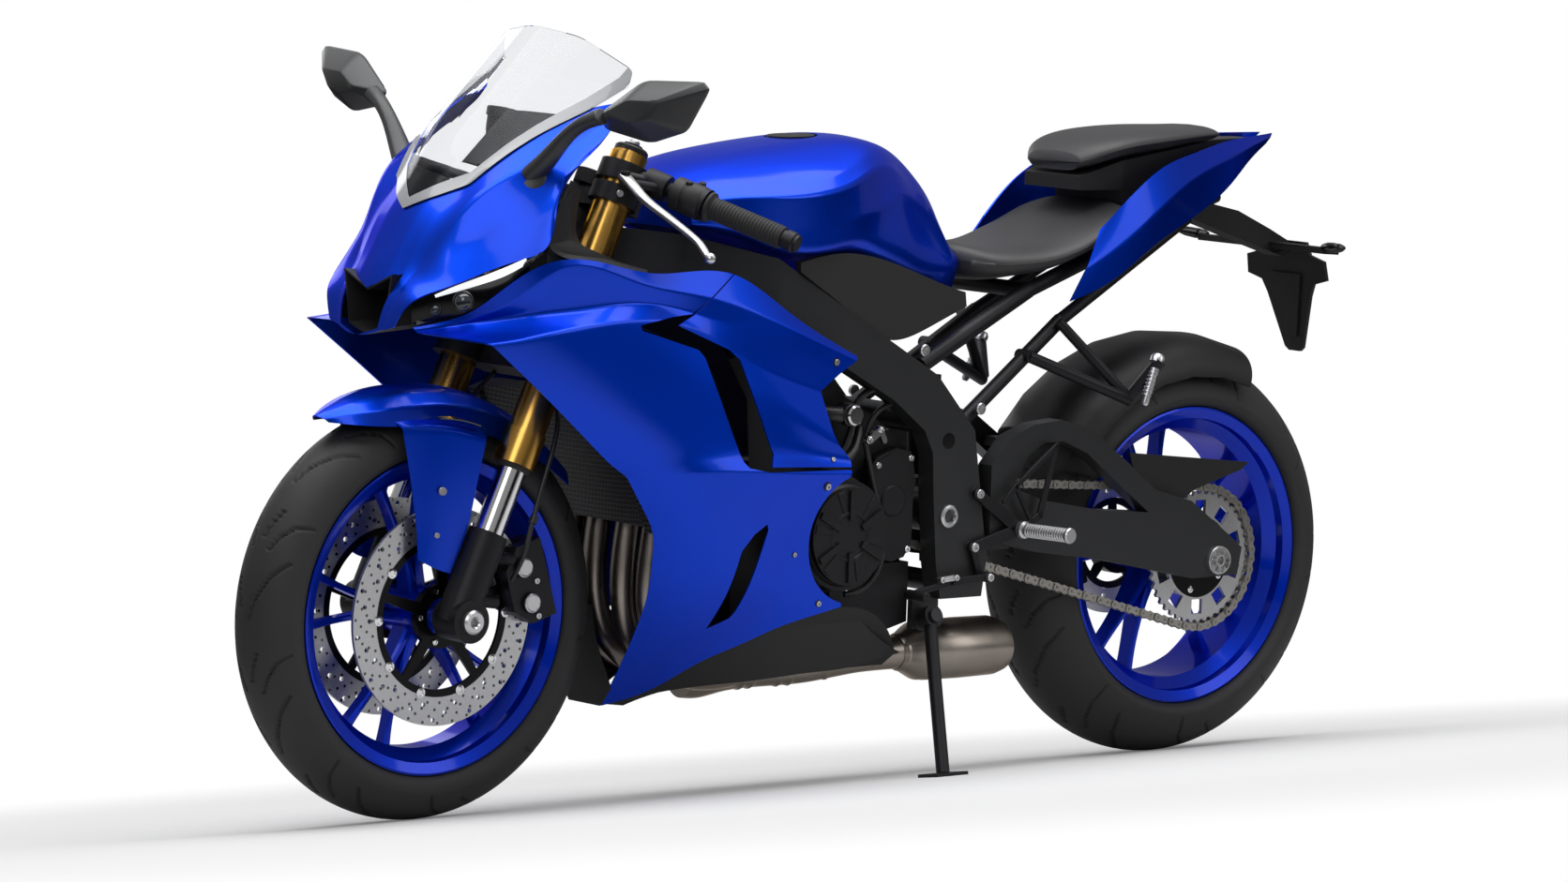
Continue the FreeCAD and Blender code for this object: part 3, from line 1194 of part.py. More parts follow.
FLANK_LINES = [
    [(806, 92, 717), (750, 150, 742), (700, 192, 791), (646, 206, 815), (470, 208, 794), (314, 200, 788),
     (210, 203, 731), (72, 200, 661)],
    [(805, 94, 714), (741, 156, 735), (692, 191, 766), (634, 209, 805), (500, 213, 781), (364, 214, 757),
     (220, 214, 711), (76, 203, 655)],
    [(803, 96, 711), (716, 168, 732), (659, 188, 740), (590, 198, 745), (490, 204, 752), (396, 211, 736),
     (250, 216, 695), (104, 205, 641)],
    [(765, 216, 704), (706, 220, 709), (665, 222, 715), (605, 222, 722), (520, 222, 729), (415, 218, 720),
     (291, 217, 664), (148, 208, 614)],
    [(657, 210, 623), (590, 220, 628), (500, 225, 630), (410, 227, 628), (330, 226, 618), (260, 222, 600),
     (190, 220, 572), (124, 218, 541)],
    [(535, 202, 525), (490, 216, 530), (440, 228, 532), (375, 233, 533), (305, 231, 530), (235, 224, 527),
     (165, 217, 520), (92, 216, 512)],
    [(500, 201, 503), (460, 219, 505), (410, 233, 507), (350, 239, 508), (285, 240, 505), (220, 236, 500),
     (160, 230, 496), (96, 224, 492)],
    [(438, 192, 420), (410, 212, 424), (375, 226, 425), (335, 229, 425), (290, 227, 425), (245, 222, 425),
     (190, 216, 425), (130, 212, 425)],
    [(419, 160, 325), (395, 186, 328), (360, 202, 330), (320, 209, 333), (275, 210, 335), (230, 208, 337),
     (170, 205, 338), (110, 202, 339)],
    [(411, 115, 253), (385, 145, 262), (352, 168, 272), (310, 182, 282), (262, 190, 292), (212, 196, 302),
     (150, 201, 310), (96, 201, 317)],
    [(400, 36, 147), (354, 75, 168), (331, 108, 191), (300, 138, 218), (247, 165, 244), (194, 185, 268),
     (149, 195, 281), (87, 200, 294)],
]
SPLIT_LINE = [(250, 828), (314, 788), (364, 757), (397, 734)]
UPPER_VENT = [(440, 731), (500, 722), (497, 714), (391, 683), (380, 672), (312, 520), (303, 511), (264, 503)]
LOWER_VENT = [(254, 426), (278, 412), (298, 389), (321, 271), (289, 286), (283, 295), (250, 417)]
VANE_FRONT = [(394, 732), (428, 719), (331, 681), (311, 666), (249, 527), (258, 510)]
SPLIT_GAP = 1.5
COVER_CLEAR = 98.0


def side_fairings():
    """The main side panels, with the upper and lower vents and the arc round the round cover."""
    skin = shell_panel(FLANK_LINES, PANEL)
    rear = [(100, 498), (40, 494), (40, 828)]
    skin = skin.cut(side_plate(SPLIT_LINE + UPPER_VENT + rear, 60, 300))
    skin = skin.cut(side_plate(LOWER_VENT, 60, 300))
    skin = skin.cut(cross_rod(*COVER_CENTRE, 60, 300, COVER_CLEAR))
    mounts = [cross_rod(195, 330, ENGINE_HALF, 203.2, 7), cross_rod(474, 590, RADIATOR_HALF, 225.6, 6)]
    return both(fuse([skin] + mounts))


def side_vanes():
    """The rear side panels behind the upper vents, with their pointed tails."""
    skin = shell_panel(FLANK_LINES, PANEL)
    seam = [(x - SPLIT_GAP, z - SPLIT_GAP) for x, z in SPLIT_LINE[:-1]]
    rear = [(100, 502), (40, 498), (40, 826)]
    skin = skin.common(side_plate(seam + VANE_FRONT + rear, 60, 300))
    return both(fuse([skin, cross_rod(190, 711, 146, 205.2, 6)]).cut(frame_main()))


def belly_pan():
    """The black belly pan under the flanks, up to the collector."""
    rows = [[(394, 24, 148), (298, 126, 217), (189, 173, 267), (85, 189, 290), (-64, 150, 210)],
            [(361, 38, 145), (274, 88, 176), (152, 118, 183), (21, 135, 191), (-45, 143, 193)]]
    return both(fuse([shell_panel(rows, PANEL), cross_rod(60, 262, ENGINE_HALF, BELLY_MOUNT_END, 6)]))


# Which piece belongs to which sub-part file

NODES = {
    "front_tyre": front_tyre, "front_rim": front_rim, "front_discs": front_discs,
    "rear_tyre": rear_tyre, "rear_rim": rear_rim,
    "rear_disc": rear_disc, "rear_sprocket": rear_sprocket,
    "fork_tubes": fork_tubes, "fork_inner_tubes": fork_inner_tubes,
    "fork_bottoms": fork_bottoms, "front_axle": front_axle, "front_calipers": front_calipers,
    "fork_clamps": fork_clamps, "handlebars": handlebars, "grips": grips,
    "levers": levers, "front_mudguard": front_mudguard, "frame_main": frame_main,
    "subframe": subframe, "swingarm": swingarm, "rear_axle": rear_axle,
    "rear_caliper": rear_caliper, "shock": shock, "chain": chain, "chain_guard": chain_guard,
    "hugger": hugger, "engine_block": engine_block, "engine_covers": engine_covers,
    "radiator": radiator, "exhaust_pipes": exhaust_pipes,
    "silencer": silencer, "rearsets": rearsets, "passenger_pegs": passenger_pegs,
    "side_stand": side_stand, "fuel_tank": fuel_tank,
    "fuel_cap": fuel_cap, "knee_pads": knee_pads, "rider_seat": rider_seat,
    "passenger_seat": passenger_seat, "tail_cowls": tail_cowls, "tail_center": tail_center,
    "tail_lamp": tail_lamp, "plate_bracket": plate_bracket, "nose_cowl": nose_cowl,
    "headlamps": headlamps, "intake": intake, "windscreen": windscreen,
    "instrument_panel": instrument_panel, "fairing_stay": fairing_stay, "mirrors": mirrors,
    "inner_panels": inner_panels, "side_fairings": side_fairings, "side_vanes": side_vanes,
    "belly_pan": belly_pan,
}


def build():
    """Every sub-part leaned onto the stand, and the shift that centres the footprint."""
    shapes = {name: leaned(make()) for name, make in NODES.items()}
    low, high = V(1e9, 1e9, 1e9), V(-1e9, -1e9, -1e9)
    for shape in shapes.values():
        for point in shape.tessellate(0.3)[0]:
            low = V(min(low.x, point.x), min(low.y, point.y), min(low.z, point.z))
            high = V(max(high.x, point.x), max(high.y, point.y), max(high.z, point.z))
    shift = V(-(low.x + high.x) / 2, -(low.y + high.y) / 2, -low.z)
    for shape in shapes.values():
        shape.translate(shift)
    return shapes, shift


if __name__ == "__main__":
    os.makedirs("parts", exist_ok=True)
    finished, origin_shift = build()
    for name, shape in finished.items():
        shape.exportStep(f"parts/{name}.step")
        solids = shape.Solids
        valid = all(s.isValid() and s.Volume > 0 for s in solids)
        print(f"{name:20s} solids {len(solids)} volume {shape.Volume / 1e3:10.1f} cm3 valid {valid}")
    print("shift", origin_shift)
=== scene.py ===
"""The sport bike dressed for its portrait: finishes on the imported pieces, and the skins, tread, chain,
seats and small trim that are worked out here around them."""
import json
import math

import bmesh
import bpy
import numpy as np
from mathutils import Matrix, Vector


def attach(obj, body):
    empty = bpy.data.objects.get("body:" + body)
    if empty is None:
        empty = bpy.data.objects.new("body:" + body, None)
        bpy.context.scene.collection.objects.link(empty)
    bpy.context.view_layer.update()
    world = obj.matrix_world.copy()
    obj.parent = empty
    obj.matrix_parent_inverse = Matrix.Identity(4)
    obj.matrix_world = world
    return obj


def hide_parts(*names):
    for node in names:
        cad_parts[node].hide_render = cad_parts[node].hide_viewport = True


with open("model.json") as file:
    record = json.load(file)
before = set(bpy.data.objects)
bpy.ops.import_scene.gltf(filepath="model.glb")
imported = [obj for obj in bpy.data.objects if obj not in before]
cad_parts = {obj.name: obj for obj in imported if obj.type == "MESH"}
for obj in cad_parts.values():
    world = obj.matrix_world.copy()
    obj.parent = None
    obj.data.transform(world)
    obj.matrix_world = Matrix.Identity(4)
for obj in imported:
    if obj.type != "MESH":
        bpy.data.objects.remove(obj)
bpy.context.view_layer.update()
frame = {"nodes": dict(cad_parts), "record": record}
nodes = frame["nodes"]
scene = bpy.context.scene

# Viewpoint. The photograph shows the bike held upright, and the real one rests on its side stand, so
# the camera is placed about the upright bike and then leaned with it, which keeps the same picture.
AXLE = next(m for m in frame["record"]["mounts"] if m["name"] == "front_axle_bore")
FRONT_AXLE = np.array([0.720, 0.0, 0.300])
LEAN = math.atan2(-AXLE["axis"][2], AXLE["axis"][1])
UPRIGHT_TO_PARKED = np.array([[1.0, 0.0, 0.0],
                              [0.0, math.cos(LEAN), math.sin(LEAN)],
                              [0.0, -math.sin(LEAN), math.cos(LEAN)]])
PARKED_AT = np.array(AXLE["pos_m"]) - UPRIGHT_TO_PARKED @ FRONT_AXLE
VIEW_AZIMUTH, VIEW_ELEVATION, VIEW_ROLL = np.radians([139.57, 5.891, 1.913])
VIEW_DISTANCE = 10.625
VIEW_TARGET = np.array([0.0375, 0.0, 0.5157])
VIEW_FOCAL_WIDTHS = 4.5635
VIEW_FARTHEST = 60.0


def parked(points):
    """Points of the upright bike, turned about the ground line by the lean and set where it stands."""
    return np.asarray(points, float) @ UPRIGHT_TO_PARKED.T + PARKED_AT


def unit(v):
    """The vector or vectors divided by their own length."""
    v = np.asarray(v, float)
    return v / np.maximum(np.linalg.norm(v, axis=-1, keepdims=True), 1e-12)


back = np.array([math.sin(VIEW_AZIMUTH) * math.cos(VIEW_ELEVATION),
                 -math.cos(VIEW_AZIMUTH) * math.cos(VIEW_ELEVATION), math.sin(VIEW_ELEVATION)])
level = unit(np.cross([0.0, 0.0, 1.0], back))
above = np.cross(back, level)
right = math.cos(VIEW_ROLL) * level + math.sin(VIEW_ROLL) * above
upward = math.cos(VIEW_ROLL) * above - math.sin(VIEW_ROLL) * level
camera = bpy.data.objects.new("camera", bpy.data.cameras.new("camera"))
scene.collection.objects.link(camera)
scene.camera = camera
camera.data.sensor_width = 36.0
camera.data.lens = VIEW_FOCAL_WIDTHS * camera.data.sensor_width
camera.data.clip_end = VIEW_FARTHEST
place = np.eye(4)
place[:3, :3] = UPRIGHT_TO_PARKED @ np.column_stack([right, upward, back])
place[:3, 3] = parked(VIEW_TARGET + VIEW_DISTANCE * back)
camera.matrix_world = Matrix(place.tolist())

# Studio. A white floor that fades into a white surround, so the camera sees bare white with only the
# soft shadow, one broad lamp overhead, and tall soft ones that draw the long highlights on the paint.
scene.view_settings.view_transform = "Standard"
WHITE = (1, 1, 1, 1)
FLOOR_HALF, FLOOR_CORNERS = 30.0, [(-1, -1), (1, -1), (1, 1), (-1, 1)]
FLOOR_GREY = 0.56
FLOOR_LIFT = (0.12, 1.0)
FLOOR_FADE = (1.1, 2.6)
SURROUND_LIGHT = 0.29
LAMPS = [("overhead", (0.2, 0.35, 3.3), (0.0, 0.0, 0.5), 4.6, 3.0, 158),
         ("front_left", (3.4, 2.4, 2.2), (0.2, 0.0, 0.6), 1.6, 2.6, 32),
         ("left_rear", (-2.6, 3.6, 2.0), (-0.3, 0.0, 0.6), 1.8, 2.4, 28),
         ("right_side", (-0.6, -3.8, 2.4), (0.0, 0.0, 0.6), 2.4, 1.6, 24)]


def feed(node, inputs):
    """Gives each listed input of a node its value, or the link from the socket listed for it."""
    for title, value in inputs.items():
        if isinstance(value, bpy.types.NodeSocket):
            node.id_data.links.new(value, node.inputs[title])
        else:
            node.inputs[title].default_value = value
    return node


def add_node(tree, kind, inputs=None, **settings):
    """A new node of a kind with its settings, and then its inputs."""
    node = tree.nodes.new(kind)
    for setting, value in settings.items():
        setattr(node, setting, value)
    return feed(node, inputs or {})


def look(name, inputs):
    """A new material, its node tree and its Principled shader with the inputs given."""
    material = bpy.data.materials.new(name)
    material.use_nodes = True
    return material, material.node_tree, feed(material.node_tree.nodes["Principled BSDF"], inputs)


def in_sight(tree):
    """One where the camera sees the surface, also through clear glass, and nought for other light."""
    paths = add_node(tree, "ShaderNodeLightPath").outputs
    return add_node(tree, "ShaderNodeMath", {0: paths["Is Camera Ray"], 1: paths["Is Transmission Ray"]},
                    operation="MAXIMUM").outputs[0]


floor_mesh = bpy.data.meshes.new("floor")
floor_mesh.from_pydata([(x * FLOOR_HALF, y * FLOOR_HALF, 0) for x, y in FLOOR_CORNERS], [], [(0, 1, 2, 3)])
floor = bpy.data.objects.new("floor", floor_mesh)
scene.collection.objects.link(floor)
floor_look, tree, shader = look("white_floor", {"Roughness": 0.9, "Specular IOR Level": 0.0,
                                                "Emission Color": WHITE})
reach = add_node(tree, "ShaderNodeVectorMath",
                 {0: add_node(tree, "ShaderNodeTexCoord").outputs["Object"]}, operation="LENGTH")
glow, dim = [add_node(tree, "ShaderNodeMapRange",
                      {"Value": reach.outputs["Value"], "From Min": FLOOR_FADE[0], "From Max": FLOOR_FADE[1],
                       "To Min": near, "To Max": far}, interpolation_type="SMOOTHSTEP").outputs["Result"]
             for near, far in (FLOOR_LIFT, (FLOOR_GREY, 0.0))]
lift = add_node(tree, "ShaderNodeMath", {0: in_sight(tree), 1: glow}, operation="MULTIPLY")
feed(shader, {"Base Color": dim, "Emission Strength": lift.outputs[0]})
floor_mesh.materials.append(floor_look)

world = bpy.data.worlds.new("surround")
scene.world = world
world.use_nodes = True
tree = world.node_tree
brighten = add_node(tree, "ShaderNodeMapRange", {"Value": in_sight(tree), "To Min": SURROUND_LIGHT,
                                                 "To Max": 1.0})
feed(tree.nodes["Background"], {"Color": WHITE, "Strength": brighten.outputs["Result"]})

for name, spot, aim, width, height, watts in LAMPS:
    lamp = bpy.data.lights.new(name, "AREA")
    lamp.shape = "RECTANGLE"
    lamp.size, lamp.size_y = width, height
    lamp.energy = watts
    holder = bpy.data.objects.new(name, lamp)
    scene.collection.objects.link(holder)
    holder.location = spot
    holder.rotation_mode = "QUATERNION"
    holder.rotation_quaternion = (Vector(aim) - Vector(spot)).to_track_quat("-Z", "Y")

# Castings and metal parts. Frame, arm, engine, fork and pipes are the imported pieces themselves, with
# painted, cast, anodised or bare metal on them and the light caught softly along their welded edges.
# A metal's glancing reflection is its own colour brought towards white by the edge share.
EDGE_WHITE = 0.2
WELD_DISTANCE = 0.00002
SHARP_EDGE = math.radians(32)
SOCKETS = {"f": "NodeSocketFloat", "c": "NodeSocketColor"}


def group(name, inputs, outputs):
    """An empty shader node group with named float or colour sockets."""
    tree = bpy.data.node_groups.new(name, "ShaderNodeTree")
    for title, kind, value in inputs:
        tree.interface.new_socket(title, in_out="INPUT", socket_type=SOCKETS[kind]).default_value = value
    for title, kind in outputs:
        tree.interface.new_socket(title, in_out="OUTPUT", socket_type=SOCKETS[kind])
    return tree, tree.nodes.new("NodeGroupInput").outputs, tree.nodes.new("NodeGroupOutput")


def cast_surface():
    """Two octaves of noise: a colour that drifts by a share, a roughness that drifts, and a height."""
    tree, given, leave = group("cast_surface",
                               [("Color", "c", (0.5, 0.5, 0.5, 1)), ("Drift", "f", 0.12),
                                ("Roughness", "f", 0.5), ("Roughness Drift", "f", 0.08),
                                ("Coarse", "f", 18.0), ("Fine", "f", 900.0)],
                               [("Color", "c"), ("Roughness", "f"), ("Height", "f")])
    where = add_node(tree, "ShaderNodeTexCoord").outputs["Object"]
    coarse, fine = [add_node(tree, "ShaderNodeTexNoise", {"Detail": 3.0, "Vector": where,
                                                          "Scale": given[scale]}).outputs["Fac"]
                    for scale in ("Coarse", "Fine")]
    centred = add_node(tree, "ShaderNodeMath", {0: coarse, 1: 0.5}, operation="SUBTRACT").outputs[0]
    shade, rough = [add_node(tree, "ShaderNodeMath", {0: centred, 1: given[drift], 2: middle},
                             operation="MULTIPLY_ADD").outputs[0]
                    for drift, middle in (("Drift", 1.0), ("Roughness Drift", given["Roughness"]))]
    tint = add_node(tree, "ShaderNodeVectorMath", {0: given["Color"], "Scale": shade}, operation="SCALE")
    feed(leave, {"Color": tint.outputs[0], "Roughness": rough, "Height": fine})
    return tree


CAST = cast_surface()


def cast_skin(tree, shader, inputs, bump=0.0, grain=0.0002):
    """Feeds a shader's colour, roughness and relief from the cast-surface group; the group's node."""
    cast = add_node(tree, "ShaderNodeGroup", node_tree=CAST)
    feed(cast, inputs)
    feed(shader, {"Base Color": cast.outputs["Color"], "Roughness": cast.outputs["Roughness"]})
    if bump > 0:
        relief = add_node(tree, "ShaderNodeBump", {"Strength": bump, "Distance": grain,
                                                   "Height": cast.outputs["Height"]})
        feed(shader, {"Normal": relief.outputs["Normal"]})
    return cast


def finish(name, color, metallic, roughness, drift=0.12, rough_drift=0.1, coarse=18.0, fine=900.0,
           bump=0.0, grain=0.0002, coat=0.0, coat_roughness=0.03, specular=0.5):
    """A solid finish whose colour, roughness and grain come from the cast-surface group."""
    material, tree, shader = look(name, {"Metallic": metallic, "Specular IOR Level": specular,
                                         "Coat Weight": coat, "Coat Roughness": coat_roughness})
    if metallic > 0.5:
        tint = [EDGE_WHITE + (1 - EDGE_WHITE) * c / max(color) for c in color]
        feed(shader, {"Specular Tint": (*tint, 1)})
    cast_skin(tree, shader, {"Color": (*color, 1), "Drift": drift, "Roughness": roughness,
                             "Roughness Drift": rough_drift, "Coarse": coarse, "Fine": fine}, bump, grain)
    return material


def soft_shading():
    """A modifier that welds loose triangles' shading: smooth, but for edges over the sharp angle."""
    tree = bpy.data.node_groups.new("soft_shading", "GeometryNodeTree")
    for way in ("INPUT", "OUTPUT"):
        tree.interface.new_socket("Geometry", in_out=way, socket_type="NodeSocketGeometry")
    enter, leave = tree.nodes.new("NodeGroupInput"), tree.nodes.new("NodeGroupOutput")
    merge = add_node(tree, "GeometryNodeMergeByDistance", {"Geometry": enter.outputs[0],
                                                           "Distance": WELD_DISTANCE})
    angle = add_node(tree, "GeometryNodeInputMeshEdgeAngle")
    sharp = add_node(tree, "FunctionNodeCompare", {"A": angle.outputs["Unsigned Angle"], "B": SHARP_EDGE},
                     operation="GREATER_THAN")
    faces = add_node(tree, "GeometryNodeSetShadeSmooth", {"Geometry": merge.outputs[0]})
    edges = add_node(tree, "GeometryNodeSetShadeSmooth",
                     {"Geometry": faces.outputs[0], "Selection": sharp.outputs["Result"],
                      "Shade Smooth": False}, domain="EDGE")
    feed(leave, {0: edges.outputs[0]})
    return tree


RUBBER = finish("rubber", (0.017, 0.017, 0.0175), 0.0, 0.68, drift=0.2, coarse=30.0, fine=1600.0, bump=0.3,
                specular=0.4)
SCREEN_GLASS = look("screen_glass", {"Base Color": (0.84, 0.85, 0.87, 1), "Roughness": 0.02,
                                     "Transmission Weight": 1.0, "IOR": 1.1})[0]
BY_SLOT = {
    "tyre": RUBBER,
    "rubber": RUBBER,
    "screen": SCREEN_GLASS,
    "wheel_blue": finish("wheel_blue", (0.0, 0.028, 0.52), 0.75, 0.34, drift=0.05, rough_drift=0.05,
                         bump=0.03, coat=0.4, coat_roughness=0.08, specular=0.3),
    "body_blue": finish("blue_paint", (0.0, 0.046, 0.62), 0.88, 0.36, drift=0.04, rough_drift=0.03,
                        coarse=6.0, fine=2600.0, bump=0.02, grain=0.00005, coat=0.3, coat_roughness=0.10,
                        specular=0.3),
    "steel": finish("steel", (0.50, 0.50, 0.51), 1.0, 0.34, drift=0.2, rough_drift=0.2, fine=1200.0,
                    bump=0.05),
    "bright_steel": finish("bright_steel", (0.76, 0.76, 0.77), 1.0, 0.12, drift=0.05),
    "gold": finish("gold", (0.66, 0.37, 0.085), 1.0, 0.24, drift=0.08, rough_drift=0.1),
    "black_metal": finish("black_cast", (0.013, 0.013, 0.014), 0.55, 0.46, drift=0.25, fine=700.0,
                          bump=0.3),
    "frame_grey": finish("frame_grey", (0.032, 0.0325, 0.034), 0.55, 0.44, drift=0.15, fine=900.0,
                         bump=0.2),
    "black_plastic": finish("black_plastic", (0.0085, 0.0085, 0.009), 0.0, 0.50, specular=0.4, fine=1500.0,
                            bump=0.25),
    "seat": finish("vinyl", (0.022, 0.022, 0.024), 0.0, 0.50, drift=0.15, fine=1100.0, bump=0.55),
    "lamp": finish("lamp_and_shade_black", (0.006, 0.006, 0.007), 0.0, 0.10, coat=1.0),
    "red_lens": finish("red_lens", (0.42, 0.006, 0.010), 0.0, 0.12, coat=1.0),
    "titanium": finish("titanium", (0.34, 0.30, 0.265), 1.0, 0.32, drift=0.3, rough_drift=0.15,
                       coarse=30.0),
    "aluminium": finish("aluminium", (0.62, 0.62, 0.63), 1.0, 0.32, drift=0.15, fine=900.0, bump=0.1)}
# The lamps' own black, used again for the near-black sheets and discs painted as shade in openings.
LAMP_AND_SHADE_BLACK = BY_SLOT["lamp"]
SOFT_SHADING = soft_shading()


def dress(node, material):
    """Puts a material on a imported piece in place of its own."""
    node.data.materials.clear()
    node.data.materials.append(material)


for entry in frame["record"]["subparts"]:
    dress(nodes[entry["node"]], BY_SLOT[entry["material_slot"]])
    nodes[entry["node"]].modifiers.new("soft_shading", "NODES").node_group = SOFT_SHADING

# Side fairings and rear side panels. One pressed skin a side runs from the shoulder crease to the belly,
# with the open upper vent between the two panels, the slot low down and the arc round the round cover.


def spline_line(points, count):
    """Samples of the natural cubic spline through points, evenly spread over its chord length."""
    points = np.asarray(points, float)
    chord = np.concatenate([[0.0], np.cumsum(np.linalg.norm(np.diff(points, axis=0), axis=1))])
    n = len(points)
    gaps = np.diff(chord)
    system = np.eye(n)
    curl = np.zeros_like(points)
    for i in range(1, n - 1):
        system[i, i - 1:i + 2] = gaps[i - 1], 2 * (gaps[i - 1] + gaps[i]), gaps[i]
        curl[i] = 6 * ((points[i + 1] - points[i]) / gaps[i] - (points[i] - points[i - 1]) / gaps[i - 1])
    bend = np.linalg.solve(system, curl)
    at = np.linspace(0, chord[-1], count)
    k = np.clip(np.searchsorted(chord, at, side="right") - 1, 0, n - 2)
    h, a, b = gaps[k][:, None], (chord[k + 1] - at)[:, None], (at - chord[k])[:, None]
    return ((bend[k] * a ** 3 + bend[k + 1] * b ** 3) / (6 * h)
            + (points[k] / h - bend[k] * h / 6) * a + (points[k + 1] / h - bend[k + 1] * h / 6) * b)


def crease_weights(softness, per_span):
    """Weights of feature lines along a rounded polyline.

    At each inner line the corner is replaced by a parabola over its softness, measured in spans, so
    that near nought it stays a crease and at one it blends the lines evenly.
    """
    count = len(softness)
    at = np.unique(np.concatenate(
        [np.linspace(i, i + 1, per_span + 1) for i in range(count - 1)]
        + [np.linspace(max(i - s / 2, 0), min(i + s / 2, count - 1), 5) for i, s in enumerate(softness)]))
    weights = np.zeros((len(at), count))
    k = np.clip(at.astype(int), 0, count - 2)
    weights[np.arange(len(at)), k] = k + 1 - at
    weights[np.arange(len(at)), k + 1] = at - k
    for i in range(1, count - 1):
        s = softness[i]
        if s == 0:
            continue
        inside = np.abs(at - i) <= s / 2
        t = (at[inside] - i + s / 2) / s
        rows = np.zeros((inside.sum(), count))
        rows[:, i - 1] = (1 - t) ** 2 * s / 2
        rows[:, i + 1] = t ** 2 * s / 2
        rows[:, i] = 1 - rows[:, i - 1] - rows[:, i + 1]
        weights[inside] = rows
    return weights


def skin_grid(lines, softness, along, per_span):
    """A surface through feature lines: a spline along each line, a rounded polyline across them."""
    curves = np.array([spline_line(line, along) for line in lines])
    return np.einsum("rl,lap->rap", crease_weights(softness, per_span), curves)


def grid_normals(grid):
    """Unit normals of a grid of points, on the side where its lines run clockwise."""
    across = np.gradient(grid, axis=0)
    along = np.gradient(grid, axis=1)
    return unit(np.cross(across, along))


def grid_faces(rows, columns, start=0, flip=False):
    """The quads of a grid of points numbered row by row."""
    index = start + np.arange(rows * columns).reshape(rows, columns)
    quads = np.stack([index[:-1, :-1], index[1:, :-1], index[1:, 1:], index[:-1, 1:]], axis=-1)
    quads = quads.reshape(-1, 4)
    return quads[:, ::-1] if flip else quads


def walled(grid, thickness):
    """A closed shell: the grid, the same grid moved against its normals, and the rim between them."""
    rows, columns = grid.shape[:2]
    inner = grid - grid_normals(grid) * thickness
    size = rows * columns
    index = np.arange(size).reshape(rows, columns)
    rim = np.concatenate([index[0, :], index[1:, -1], index[-1, -2::-1], index[-2:0:-1, 0]])
    after = np.roll(rim, -1)
    edge = np.stack([rim, after, after + size, rim + size], axis=-1)
    faces = np.concatenate([grid_faces(rows, columns, 0), grid_faces(rows, columns, size, True), edge])
    return np.concatenate([grid.reshape(-1, 3), inner.reshape(-1, 3)]), faces


def prism(outline, low, high, axis=1):
    """A prism from low to high along an axis. Its outline leaves that axis out: (x, z) by side, for y."""
    n = len(outline)
    points = np.array([(*p[:axis], at, *p[axis:]) for at in (low, high) for p in outline], float)
    ring = np.arange(n)
    after = np.roll(ring, -1)
    sides = np.stack([ring, after, after + n, ring + n], axis=-1).tolist()
    return points, [ring[::-1].tolist(), (ring + n).tolist()] + sides


def raw_object(name, points, faces):
    """An object of plain points in millimetres and faces, its faces turned outward."""
    mesh = bpy.data.meshes.new(name)
    mesh.from_pydata([tuple(p) for p in np.asarray(points) / 1000.0], [], [tuple(f) for f in faces])
    shell = bmesh.new()
    shell.from_mesh(mesh)
    bmesh.ops.recalc_face_normals(shell, faces=shell.faces)
    shell.to_mesh(mesh)
    shell.free()
    obj = bpy.data.objects.new(name, mesh)
    scene.collection.objects.link(obj)
    return obj


def carve(obj, cuts):
    """Cuts each (prism, operation) from an object, or keeps only what lies in it."""
    tools = []
    for k, (shape, operation) in enumerate(cuts):
        tools.append(raw_object(f"cutter_{k}", *shape))
        cut = obj.modifiers.new(f"cut_{k}", "BOOLEAN")
        cut.operation = operation
        cut.solver = "EXACT"
        cut.object = tools[-1]
    bpy.context.view_layer.update()
    mesh = bpy.data.meshes.new_from_object(obj.evaluated_get(bpy.context.evaluated_depsgraph_get()))
    obj.modifiers.clear()
    obj.data = mesh
    for tool in tools:
        bpy.data.objects.remove(tool)


def piece(name, shape, slot, material=None, body="root", instead_of=(), cuts=(), twin=False,
          crease=32.0, edge=0.0):
    """A finished piece from a shape in the upright frame.

    It is cut, given a right-hand twin, shaded smooth but for its creases, leaned with the bike and
    rounded along its edges, and rides on its body. Its slot's own finish is used unless one is given.
    """
    obj = raw_object(name, *shape)
    if cuts:
        carve(obj, cuts)
    mesh = obj.data
    points = np.empty(len(mesh.vertices) * 3)
    mesh.vertices.foreach_get("co", points)
    points = points.reshape(-1, 3)
    faces = [tuple(p.vertices) for p in mesh.polygons]
    if twin:
        count = len(points)
        faces += [tuple(v + count for v in reversed(f)) for f in faces]
        points = np.concatenate([points, points * (1, -1, 1)])
    done = bpy.data.meshes.new(name)
    done.from_pydata([tuple(p) for p in parked(points)], [], faces)
    done.update()
    done.polygons.foreach_set("use_smooth", [True] * len(done.polygons))
    done.set_sharp_from_angle(angle=math.radians(crease))
    done.materials.append(material or BY_SLOT[slot])
    obj.data = done
    if edge > 0:
        roll = obj.modifiers.new("edge", "BEVEL")
        roll.width = edge / 1000.0
        roll.segments = 2
        roll.limit_method = "ANGLE"
        roll.angle_limit = ROUNDED_FROM
    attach(obj, body)
    if instead_of:
        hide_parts(*instead_of)
    return obj


